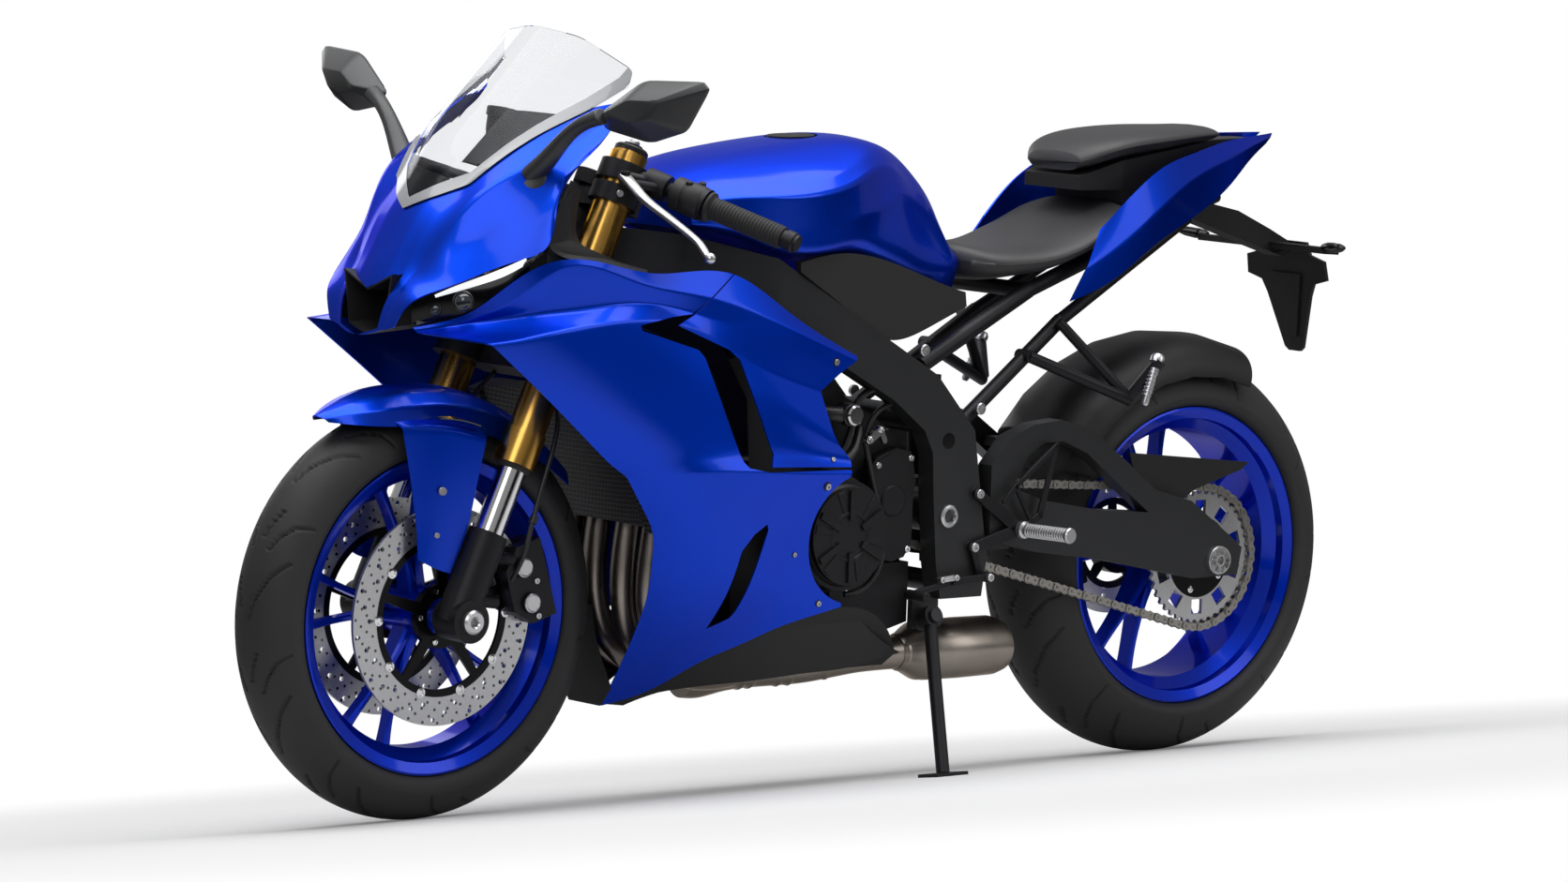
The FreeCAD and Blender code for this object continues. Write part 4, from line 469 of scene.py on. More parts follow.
FLANK = [
    [(806, 92, 717), (750, 150, 742), (700, 192, 791), (646, 206, 815), (470, 208, 794), (314, 200, 788),
     (210, 203, 731), (72, 200, 661)],
    [(805, 94, 714), (741, 156, 735), (692, 191, 766), (634, 209, 805), (500, 213, 781), (364, 214, 757),
     (220, 214, 711), (76, 203, 655)],
    [(803, 96, 711), (716, 168, 732), (659, 188, 740), (590, 198, 745), (490, 204, 752), (396, 211, 736),
     (250, 216, 695), (104, 205, 641)],
    [(765, 216, 704), (706, 220, 709), (665, 222, 715), (605, 222, 722), (520, 222, 729), (415, 218, 720),
     (291, 217, 664), (148, 208, 614)],
    [(657, 210, 623), (590, 220, 628), (500, 225, 630), (410, 227, 628), (330, 226, 618), (260, 222, 600),
     (190, 220, 572), (124, 218, 541)],
    [(535, 202, 525), (490, 216, 530), (440, 228, 532), (375, 233, 533), (305, 231, 530), (235, 224, 527),
     (165, 217, 520), (92, 216, 512)],
    [(500, 201, 503), (460, 219, 505), (410, 233, 507), (350, 239, 508), (285, 240, 505), (220, 236, 500),
     (160, 230, 496), (96, 224, 492)],
    [(438, 192, 420), (410, 212, 424), (375, 226, 425), (335, 229, 425), (290, 227, 425), (245, 222, 425),
     (190, 216, 425), (130, 212, 425)],
    [(419, 160, 325), (395, 186, 328), (360, 202, 330), (320, 209, 333), (275, 210, 335), (230, 208, 337),
     (170, 205, 338), (110, 202, 339)],
    [(411, 115, 253), (385, 145, 262), (352, 168, 272), (310, 182, 282), (262, 190, 292), (212, 196, 302),
     (150, 201, 310), (96, 201, 317)],
    [(400, 36, 147), (354, 75, 168), (331, 108, 191), (300, 138, 218), (247, 165, 244), (194, 185, 268),
     (149, 195, 281), (87, 200, 294)],
]
FLANK_SOFTNESS = [0, 0.25, 0.25, 0.12, 0.6, 0.5, 0.12, 0.5, 0.9, 0.8, 0]
PANEL = 2.4
ROUNDED_FROM = math.radians(50)
OUTBOARD = (60, 300)
SPLIT = [(250, 828), (314, 788), (364, 757), (397, 734)]
SPLIT_LAP = 1.5
UPPER_VENT = [(440, 731), (500, 722), (497, 714), (391, 683), (380, 672), (312, 520), (303, 511), (264, 503)]
LOWER_VENT = [(254, 426), (278, 412), (298, 389), (321, 271), (289, 286), (283, 295), (250, 417)]
VANE_FRONT = [(394, 732), (428, 719), (331, 681), (311, 666), (249, 527), (258, 510)]
BEHIND = [(100, 498), (40, 494), (40, 828)]
BEHIND_VANE = [(100, 502), (40, 498), (40, 826)]
COVER_AT, COVER_CLEAR = np.array([65.0, 395.0]), 98.0


def circle(at, radius, count):
    """The points of a circle in a flat outline."""
    return [(at[0] + radius * math.cos(a), at[1] + radius * math.sin(a))
            for a in np.linspace(0, 2 * math.pi, count + 1)[:-1]]


flank_grid = skin_grid(FLANK, FLANK_SOFTNESS, 130, 8)
flank_shell = walled(flank_grid, PANEL)
piece("side_fairing_skins", flank_shell, "body_blue", instead_of=["side_fairings"], twin=True,
      cuts=[(prism(outline, *OUTBOARD), "DIFFERENCE")
            for outline in (SPLIT + UPPER_VENT + BEHIND, LOWER_VENT, circle(COVER_AT, COVER_CLEAR, 72))])
lapped = [(x - SPLIT_LAP, z - SPLIT_LAP) for x, z in SPLIT[:-1]]
piece("side_vane_skins", flank_shell, "body_blue", instead_of=["side_vanes"], twin=True,
      cuts=[(prism(lapped + VANE_FRONT + BEHIND_VANE, *OUTBOARD), "INTERSECT")])

# Nose cowl and screen. One moulded skin from the lamps back to the screen: a narrow middle field drawn
# down to the fork of the nose, a crease each side of it, and outer fields swept back to the mirrors.
NOSE = [
    [(838, 0, 700), (829, 0, 742), (812, 0, 786), (784, 0, 832), (750, 0, 888), (722, 0, 924),
     (668, 0, 990), (600, 0, 1064), (533, 0, 1135)],
    [(836, 22, 702), (827, 28, 746), (808, 30, 788), (783, 30, 832), (750, 34, 882), (716, 40, 922),
     (657, 66, 987), (586, 82, 1054), (515, 86, 1122)],
    [(833, 40, 707), (823, 50, 752), (799, 55, 790), (776, 58, 832), (748, 66, 872), (706, 76, 916),
     (634, 112, 982), (546, 136, 1029), (470, 150, 1078)],
    [(831, 52, 711), (817, 64, 758), (790, 70, 792), (768, 82, 828), (747, 98, 864), (716, 118, 904),
     (658, 148, 944), (590, 157, 974), (502, 168, 1022)],
    [(830, 60, 712), (818, 78, 756), (795, 90, 782), (768, 108, 814), (737, 122, 842), (703, 144, 872),
     (664, 165, 905), (612, 172, 946), (541, 180, 986)],
    [(829, 68, 714), (818, 88, 754), (794, 108, 775), (765, 130, 796), (733, 145, 820), (700, 166, 842),
     (664, 187, 868), (630, 188, 914), (585, 190, 959)],
    [(828, 75, 716), (817, 97, 752), (790, 122, 771), (760, 145, 786), (733, 161, 799), (700, 183, 814),
     (662, 205, 834), (645, 201, 885), (626, 197, 935)],
]
NOSE_SOFTNESS = [0.7, 0.35, 0.25, 0.30, 0.8, 0.45, 0]
SCREEN_EDGE = [(0, 886), (40, 908), (76, 926), (112, 984), (136, 1032), (148, 1062), (149, 1150)]
NOSE_CUT = SCREEN_EDGE[:4] + [(134, 1022), (160, 1034), (176, 1160)]
MOUTH = [(0, 766), (57, 790), (43, 712), (0, 699)]
SCREEN_LAP = 9.0
SCREEN_THICK = 2.5
SCREEN_LIFT = 0.1
BAND_WIDTH, BAND_RISE, BAND_LIFT = 11.0, 1.4, 0.35
BAND_TOP = 1200
SCREEN_REACH = (420, 800)
BAND_REACH = (410, 810)
MOUTH_REACH = (770, 880)


def whole_outline(half):
    """A front-view outline from its left half, which starts and may end on the middle line."""
    return list(half) + [(-y, z) for y, z in reversed(half) if y > 0]


def front_cut(half, span, operation):
    """A cut along the bike with the outline whose left half is given, over a span of x."""
    return prism(whole_outline(half), *span, axis=0), operation


def whole_skin(lines, softness, along, per_span):
    """A surface on both sides, from feature lines that run from the middle line out to the left."""
    mirrored = [[(x, -y, z) for x, y, z in line] for line in lines[:0:-1]]
    return skin_grid(mirrored + lines, softness[:0:-1] + softness, along, per_span)


nose_grid = whole_skin(NOSE, NOSE_SOFTNESS, 110, 7)
piece("nose_cowl_skin", walled(nose_grid, PANEL), "body_blue", instead_of=["nose_cowl"],
      cuts=[front_cut(NOSE_CUT, SCREEN_REACH, "DIFFERENCE"), front_cut(MOUTH, MOUTH_REACH, "DIFFERENCE")])

screen_outline = [(y + (SCREEN_LAP if y > 0 else 0), z - SCREEN_LAP) for y, z in SCREEN_EDGE]
screen_cut = front_cut(screen_outline, SCREEN_REACH, "INTERSECT")
band_inner = [(max(y - BAND_WIDTH + SCREEN_LAP, 0), z - SCREEN_LAP + BAND_WIDTH * BAND_RISE)
              for y, z in SCREEN_EDGE[:-1]] + [(SCREEN_EDGE[-1][0] - 2, BAND_TOP)]
screen_grid = nose_grid + grid_normals(nose_grid) * (SCREEN_LIFT + SCREEN_THICK)
piece("windscreen_sheet", walled(screen_grid, SCREEN_THICK), "screen", instead_of=["windscreen"],
      cuts=[screen_cut])
band_grid = screen_grid + grid_normals(screen_grid) * BAND_LIFT
SCREEN_BAND = finish("screen_band", (0.26, 0.265, 0.28), 0.0, 0.25, drift=0.02, coat=0.6)
piece("windscreen_band", walled(band_grid, 2 * BAND_LIFT), "screen", SCREEN_BAND,
      cuts=[screen_cut, front_cut(band_inner, BAND_REACH, "DIFFERENCE")])

# Fuel tank. Pressed steel under the same blue paint: a wide crown, a shoulder crease that runs back and
# down into the waist, and a hollow each side for the rider's knees. Its cap sits in a well on the crown.
TANK = [
    (345, 915, 848, (45, 912), (95, 900), (126, 886), (138, 870), (142, 854)),
    (270, 940, 836, (60, 936), (118, 918), (162, 895), (162, 866), (154, 840)),
    (180, 957, 812, (68, 953), (130, 930), (178, 896), (172, 850), (168, 812)),
    (90, 968, 790, (70, 964), (140, 934), (170, 904), (168, 850), (164, 814)),
    (30, 973, 760, (68, 969), (120, 946), (150, 919), (156, 862), (152, 818)),
    (-20, 974, 735, (64, 970), (98, 956), (124, 931), (136, 872), (144, 806)),
    (-75, 966, 712, (56, 961), (76, 951), (98, 926), (112, 888), (134, 792)),
    (-120, 949, 704, (44, 944), (60, 932), (78, 904), (92, 880), (122, 780)),
    (-165, 920, 702, (34, 914), (48, 902), (62, 880), (76, 856), (110, 776)),
    (-205, 882, 702, (26, 876), (38, 864), (50, 846), (64, 826), (96, 778)),
    (-228, 846, 702, (18, 841), (28, 832), (38, 820), (52, 806), (80, 784)),
]
TANK_SOFTNESS = [0.7, 0.9, 0.9, 0.22, 0.18, 0.5, 0]
TANK_KEEL = 0.6
CAP_AT, CAP_WELL = (44.0, 0.0), 40.0
WELL_SPAN, WELL_TIP = (955.0, 1010.0), 0.04


def closed_tube(grid):
    """A closed skin of rings: row r runs round and wraps, column c runs along, and both ends are capped."""
    around_count, along_count = grid.shape[:2]
    index = np.arange(around_count * along_count).reshape(around_count, along_count)
    wrapped = np.concatenate([index, index[:1]])
    quads = np.stack([wrapped[:-1, :-1], wrapped[1:, :-1], wrapped[1:, 1:], wrapped[:-1, 1:]], axis=-1)
    faces = [tuple(q) for q in quads.reshape(-1, 4).tolist()]
    faces += [tuple(index[:, 0].tolist()), tuple(index[::-1, -1].tolist())]
    return grid.reshape(-1, 3), faces


tank_lines = ([[(s[0], 0, s[1]) for s in TANK]] + [[(s[0], *s[3 + k]) for s in TANK] for k in range(5)]
              + [[(s[0], TANK_KEEL * s[-1][0], s[2]) for s in TANK]])
well = prism(circle(CAP_AT, CAP_WELL, 64), *WELL_SPAN, axis=2)
well[0][:, 0] += WELL_TIP * (well[0][:, 2] - WELL_SPAN[0])
piece("fuel_tank_shell", closed_tube(whole_skin(tank_lines, TANK_SOFTNESS, 110, 8)), "body_blue",
      instead_of=["fuel_tank"], cuts=[(well, "DIFFERENCE")], edge=0.6)

# Tail cowls. A blue panel each side of the tail rises from below the rider's seat, creased along its
# length, and the two draw together to one point behind the passenger.
TAIL = [
    [(-462, 133, 830), (-520, 138, 880), (-590, 131, 921), (-680, 110, 942), (-770, 78, 955),
     (-860, 44, 960), (-932, 14, 962)],
    [(-428, 146, 776), (-499, 149, 811), (-565, 146, 852), (-640, 130, 892), (-742, 98, 924),
     (-850, 54, 945), (-926, 17, 955)],
    [(-394, 147, 724), (-476, 145, 751), (-575, 134, 803), (-668, 112, 838), (-767, 89, 883),
     (-850, 50, 922), (-916, 18, 946)],
]
piece("tail_cowl_skins", walled(skin_grid(TAIL, [0, 0.2, 0], 100, 12), PANEL), "body_blue",
      instead_of=["tail_cowls"], twin=True, edge=0.5)

# Tyres. Radial rubber with a round crown, a slick middle band, and long curved grooves that run in pairs
# from the shoulder towards the middle, cut a little over 3 mm deep and painted darker as shade inside them.
# The sidewall is smooth.
BEAD_SEAT = 218.5
FLANGE_RADIUS, FLANGE_THICK = 230.0, 7.0
CROWN_EDGE = math.radians(74)
TYRES = [("front", 300.0, 62.0, 52.0, 720.0), ("rear", 315.0, 95.0, 79.0, -720.0)]
TREAD_REPEATS, TYRE_AROUND = 9, 1080
GROOVE_DEPTH, GROOVE_HALF, GROOVE_TAPER = 3.4, 2.6, 0.45
GROOVES = [[(0.03, 0.13), (0.16, 0.22), (0.34, 0.46), (0.46, 0.74)],
           [(0.52, 0.30), (0.62, 0.42), (0.72, 0.62), (0.77, 0.92)],
           [(0.60, 0.10), (0.69, 0.16), (0.80, 0.27)]]


def tyre_profile(radius, crown, rim_half):
    """(radius, y, across) from bead to bead: straight bead, bulged wall, round crown; across is the
    place over the crown, from -1 at one edge to 1 at the other, and 2 on the walls."""
    middle = radius - crown
    bead = rim_half - FLANGE_THICK
    wide = crown * math.sin(CROWN_EDGE)
    a = np.linspace(CROWN_EDGE, -CROWN_EDGE, 49)
    crown_part = np.column_stack([middle + crown * np.cos(a), crown * np.sin(a), a / CROWN_EDGE])
    wall = spline_line([(FLANGE_RADIUS + 1, bead, 0), (FLANGE_RADIUS + 3, (wide + bead) / 2, 0),
                        (FLANGE_RADIUS + 13, wide - 0.5, 0), (crown_part[0, 0], crown_part[0, 1], 0)], 14)
    wall[:, 2] = 2.0
    left = np.vstack([[(BEAD_SEAT, bead, 2.0)], wall[:-1]])
    other = left[::-1] * (1, -1, 1)
    return np.vstack([left, crown_part, other])


def groove_mask(turn, across, pitch, reach):
    """How much of a groove a place on the crown lies in: 1 inside, 0 outside, eased over 1 mm.

    turn runs 0 to 1 over one repeat, pitch millimetres long, and across 0 to 1 from the middle to the
    edge, over a reach in millimetres. The mask comes from the distance to the nearest groove segment,
    whose half width narrows to its inner end.
    """
    best = np.full(turn.shape, 99.0)
    for path in GROOVES:
        for k, ((t0, s0), (t1, s1)) in enumerate(zip(path, path[1:])):
            taper = 1 - GROOVE_TAPER + GROOVE_TAPER * (k + 0.5) / (len(path) - 1)
            vx, vy = (t1 - t0) * pitch, (s1 - s0) * reach
            for shift in (-1, 0, 1):
                px, py = (turn - t0 - shift) * pitch, (across - s0) * reach
                share = np.clip((px * vx + py * vy) / (vx * vx + vy * vy), 0, 1)
                best = np.minimum(best, np.hypot(px - share * vx, py - share * vy) - GROOVE_HALF * taper)
    return np.clip(0.5 - best, 0, 1)


TREAD, tree, shader = look("tyre_rubber", {"Specular IOR Level": 0.42})
cast = cast_skin(tree, shader, {"Color": (0.021, 0.021, 0.0215, 1), "Drift": 0.25, "Roughness": 0.62,
                                "Coarse": 22.0, "Fine": 1400.0}, bump=0.25)
# Painted shade: the grooves' rubber is mixed towards near black by the groove mask.
groove_shade = add_node(tree, "ShaderNodeAttribute", attribute_name="groove")
dark = add_node(tree, "ShaderNodeMix", {"B": (0.006, 0.006, 0.006, 1), "Factor": groove_shade.outputs["Fac"],
                                        "A": cast.outputs["Color"]}, data_type="RGBA")
feed(shader, {"Base Color": dark.outputs["Result"]})

for end, radius, crown, rim_half, axle_x in TYRES:
    profile = tyre_profile(radius, crown, rim_half)
    angle = np.linspace(0, 2 * np.pi, TYRE_AROUND + 1)[:-1]
    turns, across = np.meshgrid(angle / (2 * np.pi) * TREAD_REPEATS, profile[:, 2], indexing="ij")
    cut = groove_mask((turns + np.where(across < 0, 0.5, 0.0)) % 1.0, np.abs(across),
                      2 * math.pi * radius / TREAD_REPEATS, crown * CROWN_EDGE)
    from_axle = profile[:, 0][None, :] - GROOVE_DEPTH * cut * (np.abs(across) <= 1)
    spot = np.stack([axle_x + from_axle * np.cos(angle)[:, None], np.broadcast_to(profile[:, 1], cut.shape),
                     radius + from_axle * np.sin(angle)[:, None]], axis=-1)
    index = np.pad(np.arange(cut.size).reshape(cut.shape), ((0, 1), (0, 1)), mode="wrap")
    quads = np.stack([index[:-1, :-1], index[:-1, 1:], index[1:, 1:], index[1:, :-1]], axis=-1)
    tyre = piece(f"{end}_tyre_rubber", (spot.reshape(-1, 3), quads.reshape(-1, 4).tolist()), "tyre", TREAD,
                 f"{end}_wheel", [f"{end}_tyre"], crease=60)
    groove = tyre.data.attributes.new("groove", "FLOAT", "POINT")
    groove.data.foreach_set("value", cut.reshape(-1))

# Seats. Moulded foam under stretched black vinyl: the rider's falls low behind the tank and rises to a
# step, the passenger's is a narrow raised pad. Crowned tops roll over into tucked-in skirts.
RIDER_SEAT = [(-233, 808, 62, 762), (-246, 810, 84, 756), (-275, 806, 108, 752), (-320, 804, 120, 756),
              (-380, 808, 127, 764), (-440, 824, 130, 782), (-490, 844, 127, 802), (-525, 860, 120, 822),
              (-546, 868, 104, 840)]
PASSENGER_SEAT = [(-484, 940, 58, 912), (-500, 952, 76, 916), (-540, 966, 92, 928), (-600, 974, 95, 937),
                  (-680, 977, 88, 947), (-740, 977, 72, 953), (-778, 975, 56, 957), (-788, 972, 46, 960)]
SEAT_RING, SEAT_ROUND, SKIRT_TUCK = 56, (0.42, 0.62), 0.10


def squared(wave, power):
    """A cosine or sine flattened towards a square wave by a power below one."""
    return np.sign(wave) * np.abs(wave) ** power


def lofted(rings, samples):
    """A closed skin through cross-sections, by a spline along each of their places."""
    return closed_tube(np.array([spline_line(line, samples) for line in np.swapaxes(rings, 0, 1)]))


def seat_ring(x, top, half, floor, crown):
    """One cross-section: a nearly level top that sinks by the crown, a round shoulder, a tucked skirt."""
    a = np.linspace(0, 2 * np.pi, SEAT_RING + 1)[:-1]
    wide, tall = squared(np.cos(a), SEAT_ROUND[0]), squared(np.sin(a), SEAT_ROUND[1])
    middle, reach = (top + floor) / 2, (top - floor) / 2
    y = half * wide * np.where(tall < 0, 1 - SKIRT_TUCK * np.abs(tall), 1.0)
    z = middle + reach * tall - crown * np.where(tall > 0, (y / half) ** 2, 0)
    return np.column_stack([np.full_like(y, x), y, z])


for name, node, stations, crown in (("rider_seat_pad", "rider_seat", RIDER_SEAT, 7.0),
                                    ("passenger_seat_pad", "passenger_seat", PASSENGER_SEAT, 5.0)):
    seat = piece(name, lofted([seat_ring(*s, crown) for s in stations], 72), "seat", instead_of=[node],
                 crease=80)

# Headlamps. A black lens fills the bay under each brow of the nose. It carries a slim white light strip
# along its upper edge and, deep in the bay, a round projector in a dark bezel.
LENS_UPPER = [(814, 97, 748), (772, 134, 779), (736, 157, 796), (704, 179, 810), (666, 202, 830)]
LENS_LOWER = [(806, 89, 717), (781, 116, 729), (749, 150, 742), (714, 185, 783), (673, 202, 828)]
STRIP_UPPER = [(790, 118, 765), (768, 133, 777), (736, 155, 792), (704, 177, 808), (686, 191, 819)]
STRIP_LOWER = [(788, 118, 761), (767, 134, 769), (738, 158, 781), (710, 182, 796), (694, 194, 808)]
PROJECTORS = [((758, 143, 757), 15.0), ((786, 116, 744), 9.0)]
LAMP_AIM = (0.62, 0.62, 0.12)


def bay_sheet(upper, lower, rows, base, swell):
    """A sheet ruled between two splines, lifted off by a base height and swollen along its middle."""
    fall = np.linspace(0, 1, rows)[:, None, None]
    grid = spline_line(upper, 60)[None] * (1 - fall) + spline_line(lower, 60)[None] * fall
    return grid + grid_normals(grid) * (base + swell * np.sin(np.pi * fall))


def turned(profile, start, direction, segments=48):
    """A surface of revolution about an axis: (radius, along) points carried round it, ends closed."""
    profile = np.asarray(profile, float)
    axis = unit(direction)
    helper = np.array([0.0, 0.0, 1.0]) if abs(axis[2]) < 0.9 else np.array([1.0, 0.0, 0.0])
    u = unit(np.cross(helper, axis))
    v = np.cross(axis, u)
    a = np.linspace(0, 2 * np.pi, segments + 1)[:-1]
    ring = np.cos(a)[:, None] * u + np.sin(a)[:, None] * v
    return closed_tube(np.asarray(start, float) + ring[:, None] * profile[None, :, :1]
                       + axis * profile[None, :, 1:])


def drum(radius, low, high, bore=0.2):
    """The (radius, along) profile of a plain drum."""
    return [(bore, low), (radius, low), (radius, high), (bore, high)]


def joined(parts):
    """Several (points, faces) meshes as one."""
    points, faces, start = [], [], 0
    for part_points, part_faces in parts:
        points.append(np.asarray(part_points, float))
        faces += [tuple(int(v) + start for v in f) for f in part_faces]
        start += len(part_points)
    return np.concatenate(points), faces


LENS_BLACK = finish("lens_black", (0.004, 0.004, 0.005), 0.0, 0.14, drift=0.02, rough_drift=0.01,
                    specular=0.25)
LIGHT_STRIP = look("light_strip", {"Base Color": (0.9, 0.92, 0.95, 1), "Roughness": 0.25,
                                   "Emission Color": (0.93, 0.96, 1.0, 1), "Emission Strength": 0.55})[0]
BEZEL_GREY = finish("bezel_grey", (0.05, 0.05, 0.055), 0.6, 0.22)
EYE_GLASS = finish("projector_glass", (0.02, 0.025, 0.03), 0.1, 0.04, drift=0.02, rough_drift=0.01, coat=1.0)
bezels = [turned([(0.5, -8), (r, -8), (r, 2.0), (r * 0.86, 3.5), (r * 0.78, 1.5), (0.5, 1.0)],
                 spot, LAMP_AIM) for spot, r in PROJECTORS]
eyes = [turned([(r * 0.74, 0.5), (r * 0.70, 3.0), (r * 0.5, 5.5), (r * 0.25, 6.8), (0.2, 7.2), (0.1, 0.5)],
               spot, LAMP_AIM) for spot, r in PROJECTORS]
for name, shape, material in (
        ("lamp_lenses", walled(bay_sheet(LENS_UPPER, LENS_LOWER, 14, -3.5, 3.0), 2.0), LENS_BLACK),
        ("lamp_light_strips", walled(bay_sheet(STRIP_UPPER, STRIP_LOWER, 6, 1.2, 1.5), 4.0), LIGHT_STRIP),
        ("lamp_bezels", joined(bezels), BEZEL_GREY), ("lamp_projectors", joined(eyes), EYE_GLASS)):
    piece(name, shape, "lamp", material, twin=True)

# Chain. Steel links of 15.9 mm pitch round both sprockets: inner and outer plates by turns, waisted in
# the middle, on pins whose heads show outside the outer plates.
CHAIN_PITCH, CHAIN_Y = 15.875, 104.0
SPROCKET_TEETH, DRIVE_TEETH = 43, 16
REAR_AXLE = np.array([-720.0, 315.0])
DRIVE_AT = np.array([-85.0, 420.0])
INNER_PLATE, OUTER_PLATE = (4.9, 6.9, 6.9), (7.1, 9.0, 6.4)
LINK_CORNER, LINK_WAIST = 0.7, 0.74
PIN = [(0.1, -9.0), (2.4, -9.0), (2.4, -5.0), (5.0, -5.0), (5.0, 5.0), (2.4, 5.0), (2.4, 9.0), (0.1, 9.0)]
big_r, small_r = [CHAIN_PITCH / (2 * math.sin(math.pi / teeth)) for teeth in (SPROCKET_TEETH, DRIVE_TEETH)]
span = DRIVE_AT - REAR_AXLE
tilt = math.atan2(span[1], span[0])
wrap = math.asin((big_r - small_r) / float(np.hypot(*span)))
upper, lower = math.pi / 2 + tilt - wrap, -math.pi / 2 + tilt + wrap
arcs = ((REAR_AXLE, big_r, np.linspace(upper, lower + 2 * math.pi, 240)),
        (DRIVE_AT, small_r, np.linspace(lower, upper, 90)))
loop = np.concatenate([at + radius * np.column_stack([np.cos(turn), np.sin(turn)])
                       for at, radius, turn in arcs])
loop = np.concatenate([loop, loop[:1]])
loop_at = np.concatenate([[0], np.cumsum(np.hypot(*np.diff(loop, axis=0).T))])
link_count = 2 * round(loop_at[-1] / CHAIN_PITCH / 2)
pin_at = np.linspace(0, loop_at[-1], link_count + 1)
pins = np.column_stack([np.interp(pin_at, loop_at, loop[:, 0]), np.interp(pin_at, loop_at, loop[:, 1])])


def link_plate(a, b, y0, y1, height):
    """One plate between two pins: round ends and a waist, as a prism from y0 to y1."""
    heading = unit(b - a)
    normal = np.array([-heading[1], heading[0]])
    reach, corner = np.hypot(*(b - a)) / 2, height * LINK_CORNER
    half = [(-reach - height, 0), (-reach - corner, corner), (-reach, height), (0, height * LINK_WAIST),
            (reach, height), (reach + corner, corner)]
    return prism([tuple((a + b) / 2 + heading * u + normal * w)
                  for u, w in half + [(-u, -w) for u, w in half]], y0, y1)


chain_parts = []
for k in range(link_count):
    near, far, height = INNER_PLATE if k % 2 else OUTER_PLATE
    chain_parts += [link_plate(pins[k], pins[k + 1], CHAIN_Y + near, CHAIN_Y + far, height),
                    link_plate(pins[k], pins[k + 1], CHAIN_Y - far, CHAIN_Y - near, height),
                    turned(PIN, (pins[k][0], CHAIN_Y, pins[k][1]), (0, 1, 0), 10)]
CHAIN_STEEL = finish("chain_steel", (0.36, 0.345, 0.32), 1.0, 0.36, drift=0.35, rough_drift=0.2, coarse=60.0)
piece("chain_links", joined(chain_parts), "steel", CHAIN_STEEL, instead_of=["chain"])

# Engine side. Black castings on the block: the round alternator cover with six ribs and a ring of small
# bolts, the clutch cover opposite, the sprocket cover, a coolant pipe with its plug, and the hoses.
ALTERNATOR_AT, CLUTCH_AT = np.array([65.0, 395.0]), (20.0, 380.0)
COVER_FOOT, CLUTCH_DEPTH = 112, 0.82
COVER_PROFILE = [(0.5, 0), (90, 0), (90, 34), (87, 37), (83, 38), (82, 52), (74, 68), (70, 71), (40, 77),
                 (36, 80), (33, 80), (31, 78), (0.5, 79)]
COVER_RIB, COVER_RIB_Y = [(36, 3.5), (69, 7.0), (69, -7.0), (36, -3.5)], (180, 191.5)
COVER_BOLTS = (86.5, 9, 0.2)
COVER_LUGS = [(60, 478), (112, 466), (148, 424), (150, 366), (118, 322), (60, 306), (14, 322), (-22, 352)]
SPROCKET_COVER_Y, SPROCKET_CAP = (118, 131), [(0.3, 0), (24, 0), (24, 2), (21, 4), (0.3, 4)]
COOLANT_AT, COOLANT_PLUG = (35, 569), [(0.3, 0), (15, 0), (15, 8), (12.5, 10), (0.3, 10)]
SMALL_BOLTS = [(-34, 131, 490, 5), (-98, 131, 498, 5), (-96, 131, 362, 5), (-4, 147, 530, 5),
               (-26, 147, 544, 4)]
HOSES = [([(-4, 136, 526), (-10, 138, 500), (-19, 138, 469), (-40, 140, 394), (-36, 140, 340),
           (-4, 136, 306), (22, 130, 300)], 4.5),
         ([(-80, 120, 596), (-40, 132, 606), (10, 134, 588), (24, 134, 540), (44, 130, 500)], 5.5),
         ([(-100, 118, 560), (-60, 130, 580), (-20, 132, 560), (-8, 132, 532)], 4.0),
         ([(96, 112, 520), (84, 134, 512), (52, 140, 500), (20, 136, 512), (-6, 120, 545)], 7.0)]
SPROCKET_COVER = [(-18, 482), (-32, 501), (-70, 514), (-100, 508), (-108, 480), (-106, 372), (-92, 350),
                  (-66, 344), (-40, 358), (-24, 400)]
BOLT_PROFILE = [(0.03, 0.0), (1.0, 0.0), (1.0, 0.72), (0.9, 0.84), (0.5, 0.84), (0.5, 0.4), (0.03, 0.4)]
LEFT, RIGHT = (0, 1, 0), (0, -1, 0)


def bolt_head(spot, direction, radius):
    """A socket bolt's round head standing on a spot."""
    return turned(np.array(BOLT_PROFILE) * radius, spot, direction, 20)


def bar(a, b, width, y0, y1, taper=1.0):
    """A flat bar in side view between two (x, z) points, with rounded ends, from y0 to y1."""
    first = math.atan2(b[1] - a[1], b[0] - a[0]) + math.pi / 2
    return prism([(at[0] + half * math.cos(t), at[1] + half * math.sin(t))
                  for at, half, start in ((a, width / 2, first), (b, width * taper / 2, first + math.pi))
                  for t in np.linspace(start, start + math.pi, 9)], y0, y1)


def tube(path, radius, sides=12, samples=48, reference=(0, 1, 0)):
    """A round tube: a circle square to a spline through the path's points, its ends closed.

    The radius is one number, or one for each sample.
    """
    line = spline_line(path, samples)
    ahead = unit(np.gradient(line, axis=0))
    out = unit(np.cross(ahead, np.asarray(reference, float)))
    a = np.linspace(0, 2 * np.pi, sides + 1)[:-1][:, None, None]
    ring = np.cos(a) * out[None] + np.sin(a) * np.cross(ahead, out)[None]
    return closed_tube(line[None] + ring * np.broadcast_to(radius, samples)[None, :, None])


def around(at, y, reach, count, first=0.0):
    """Places spread evenly round an (x, z) centre at y."""
    return [(at[0] + reach * math.cos(t), y, at[1] + reach * math.sin(t))
            for t in first + 2 * math.pi * np.arange(count) / count]


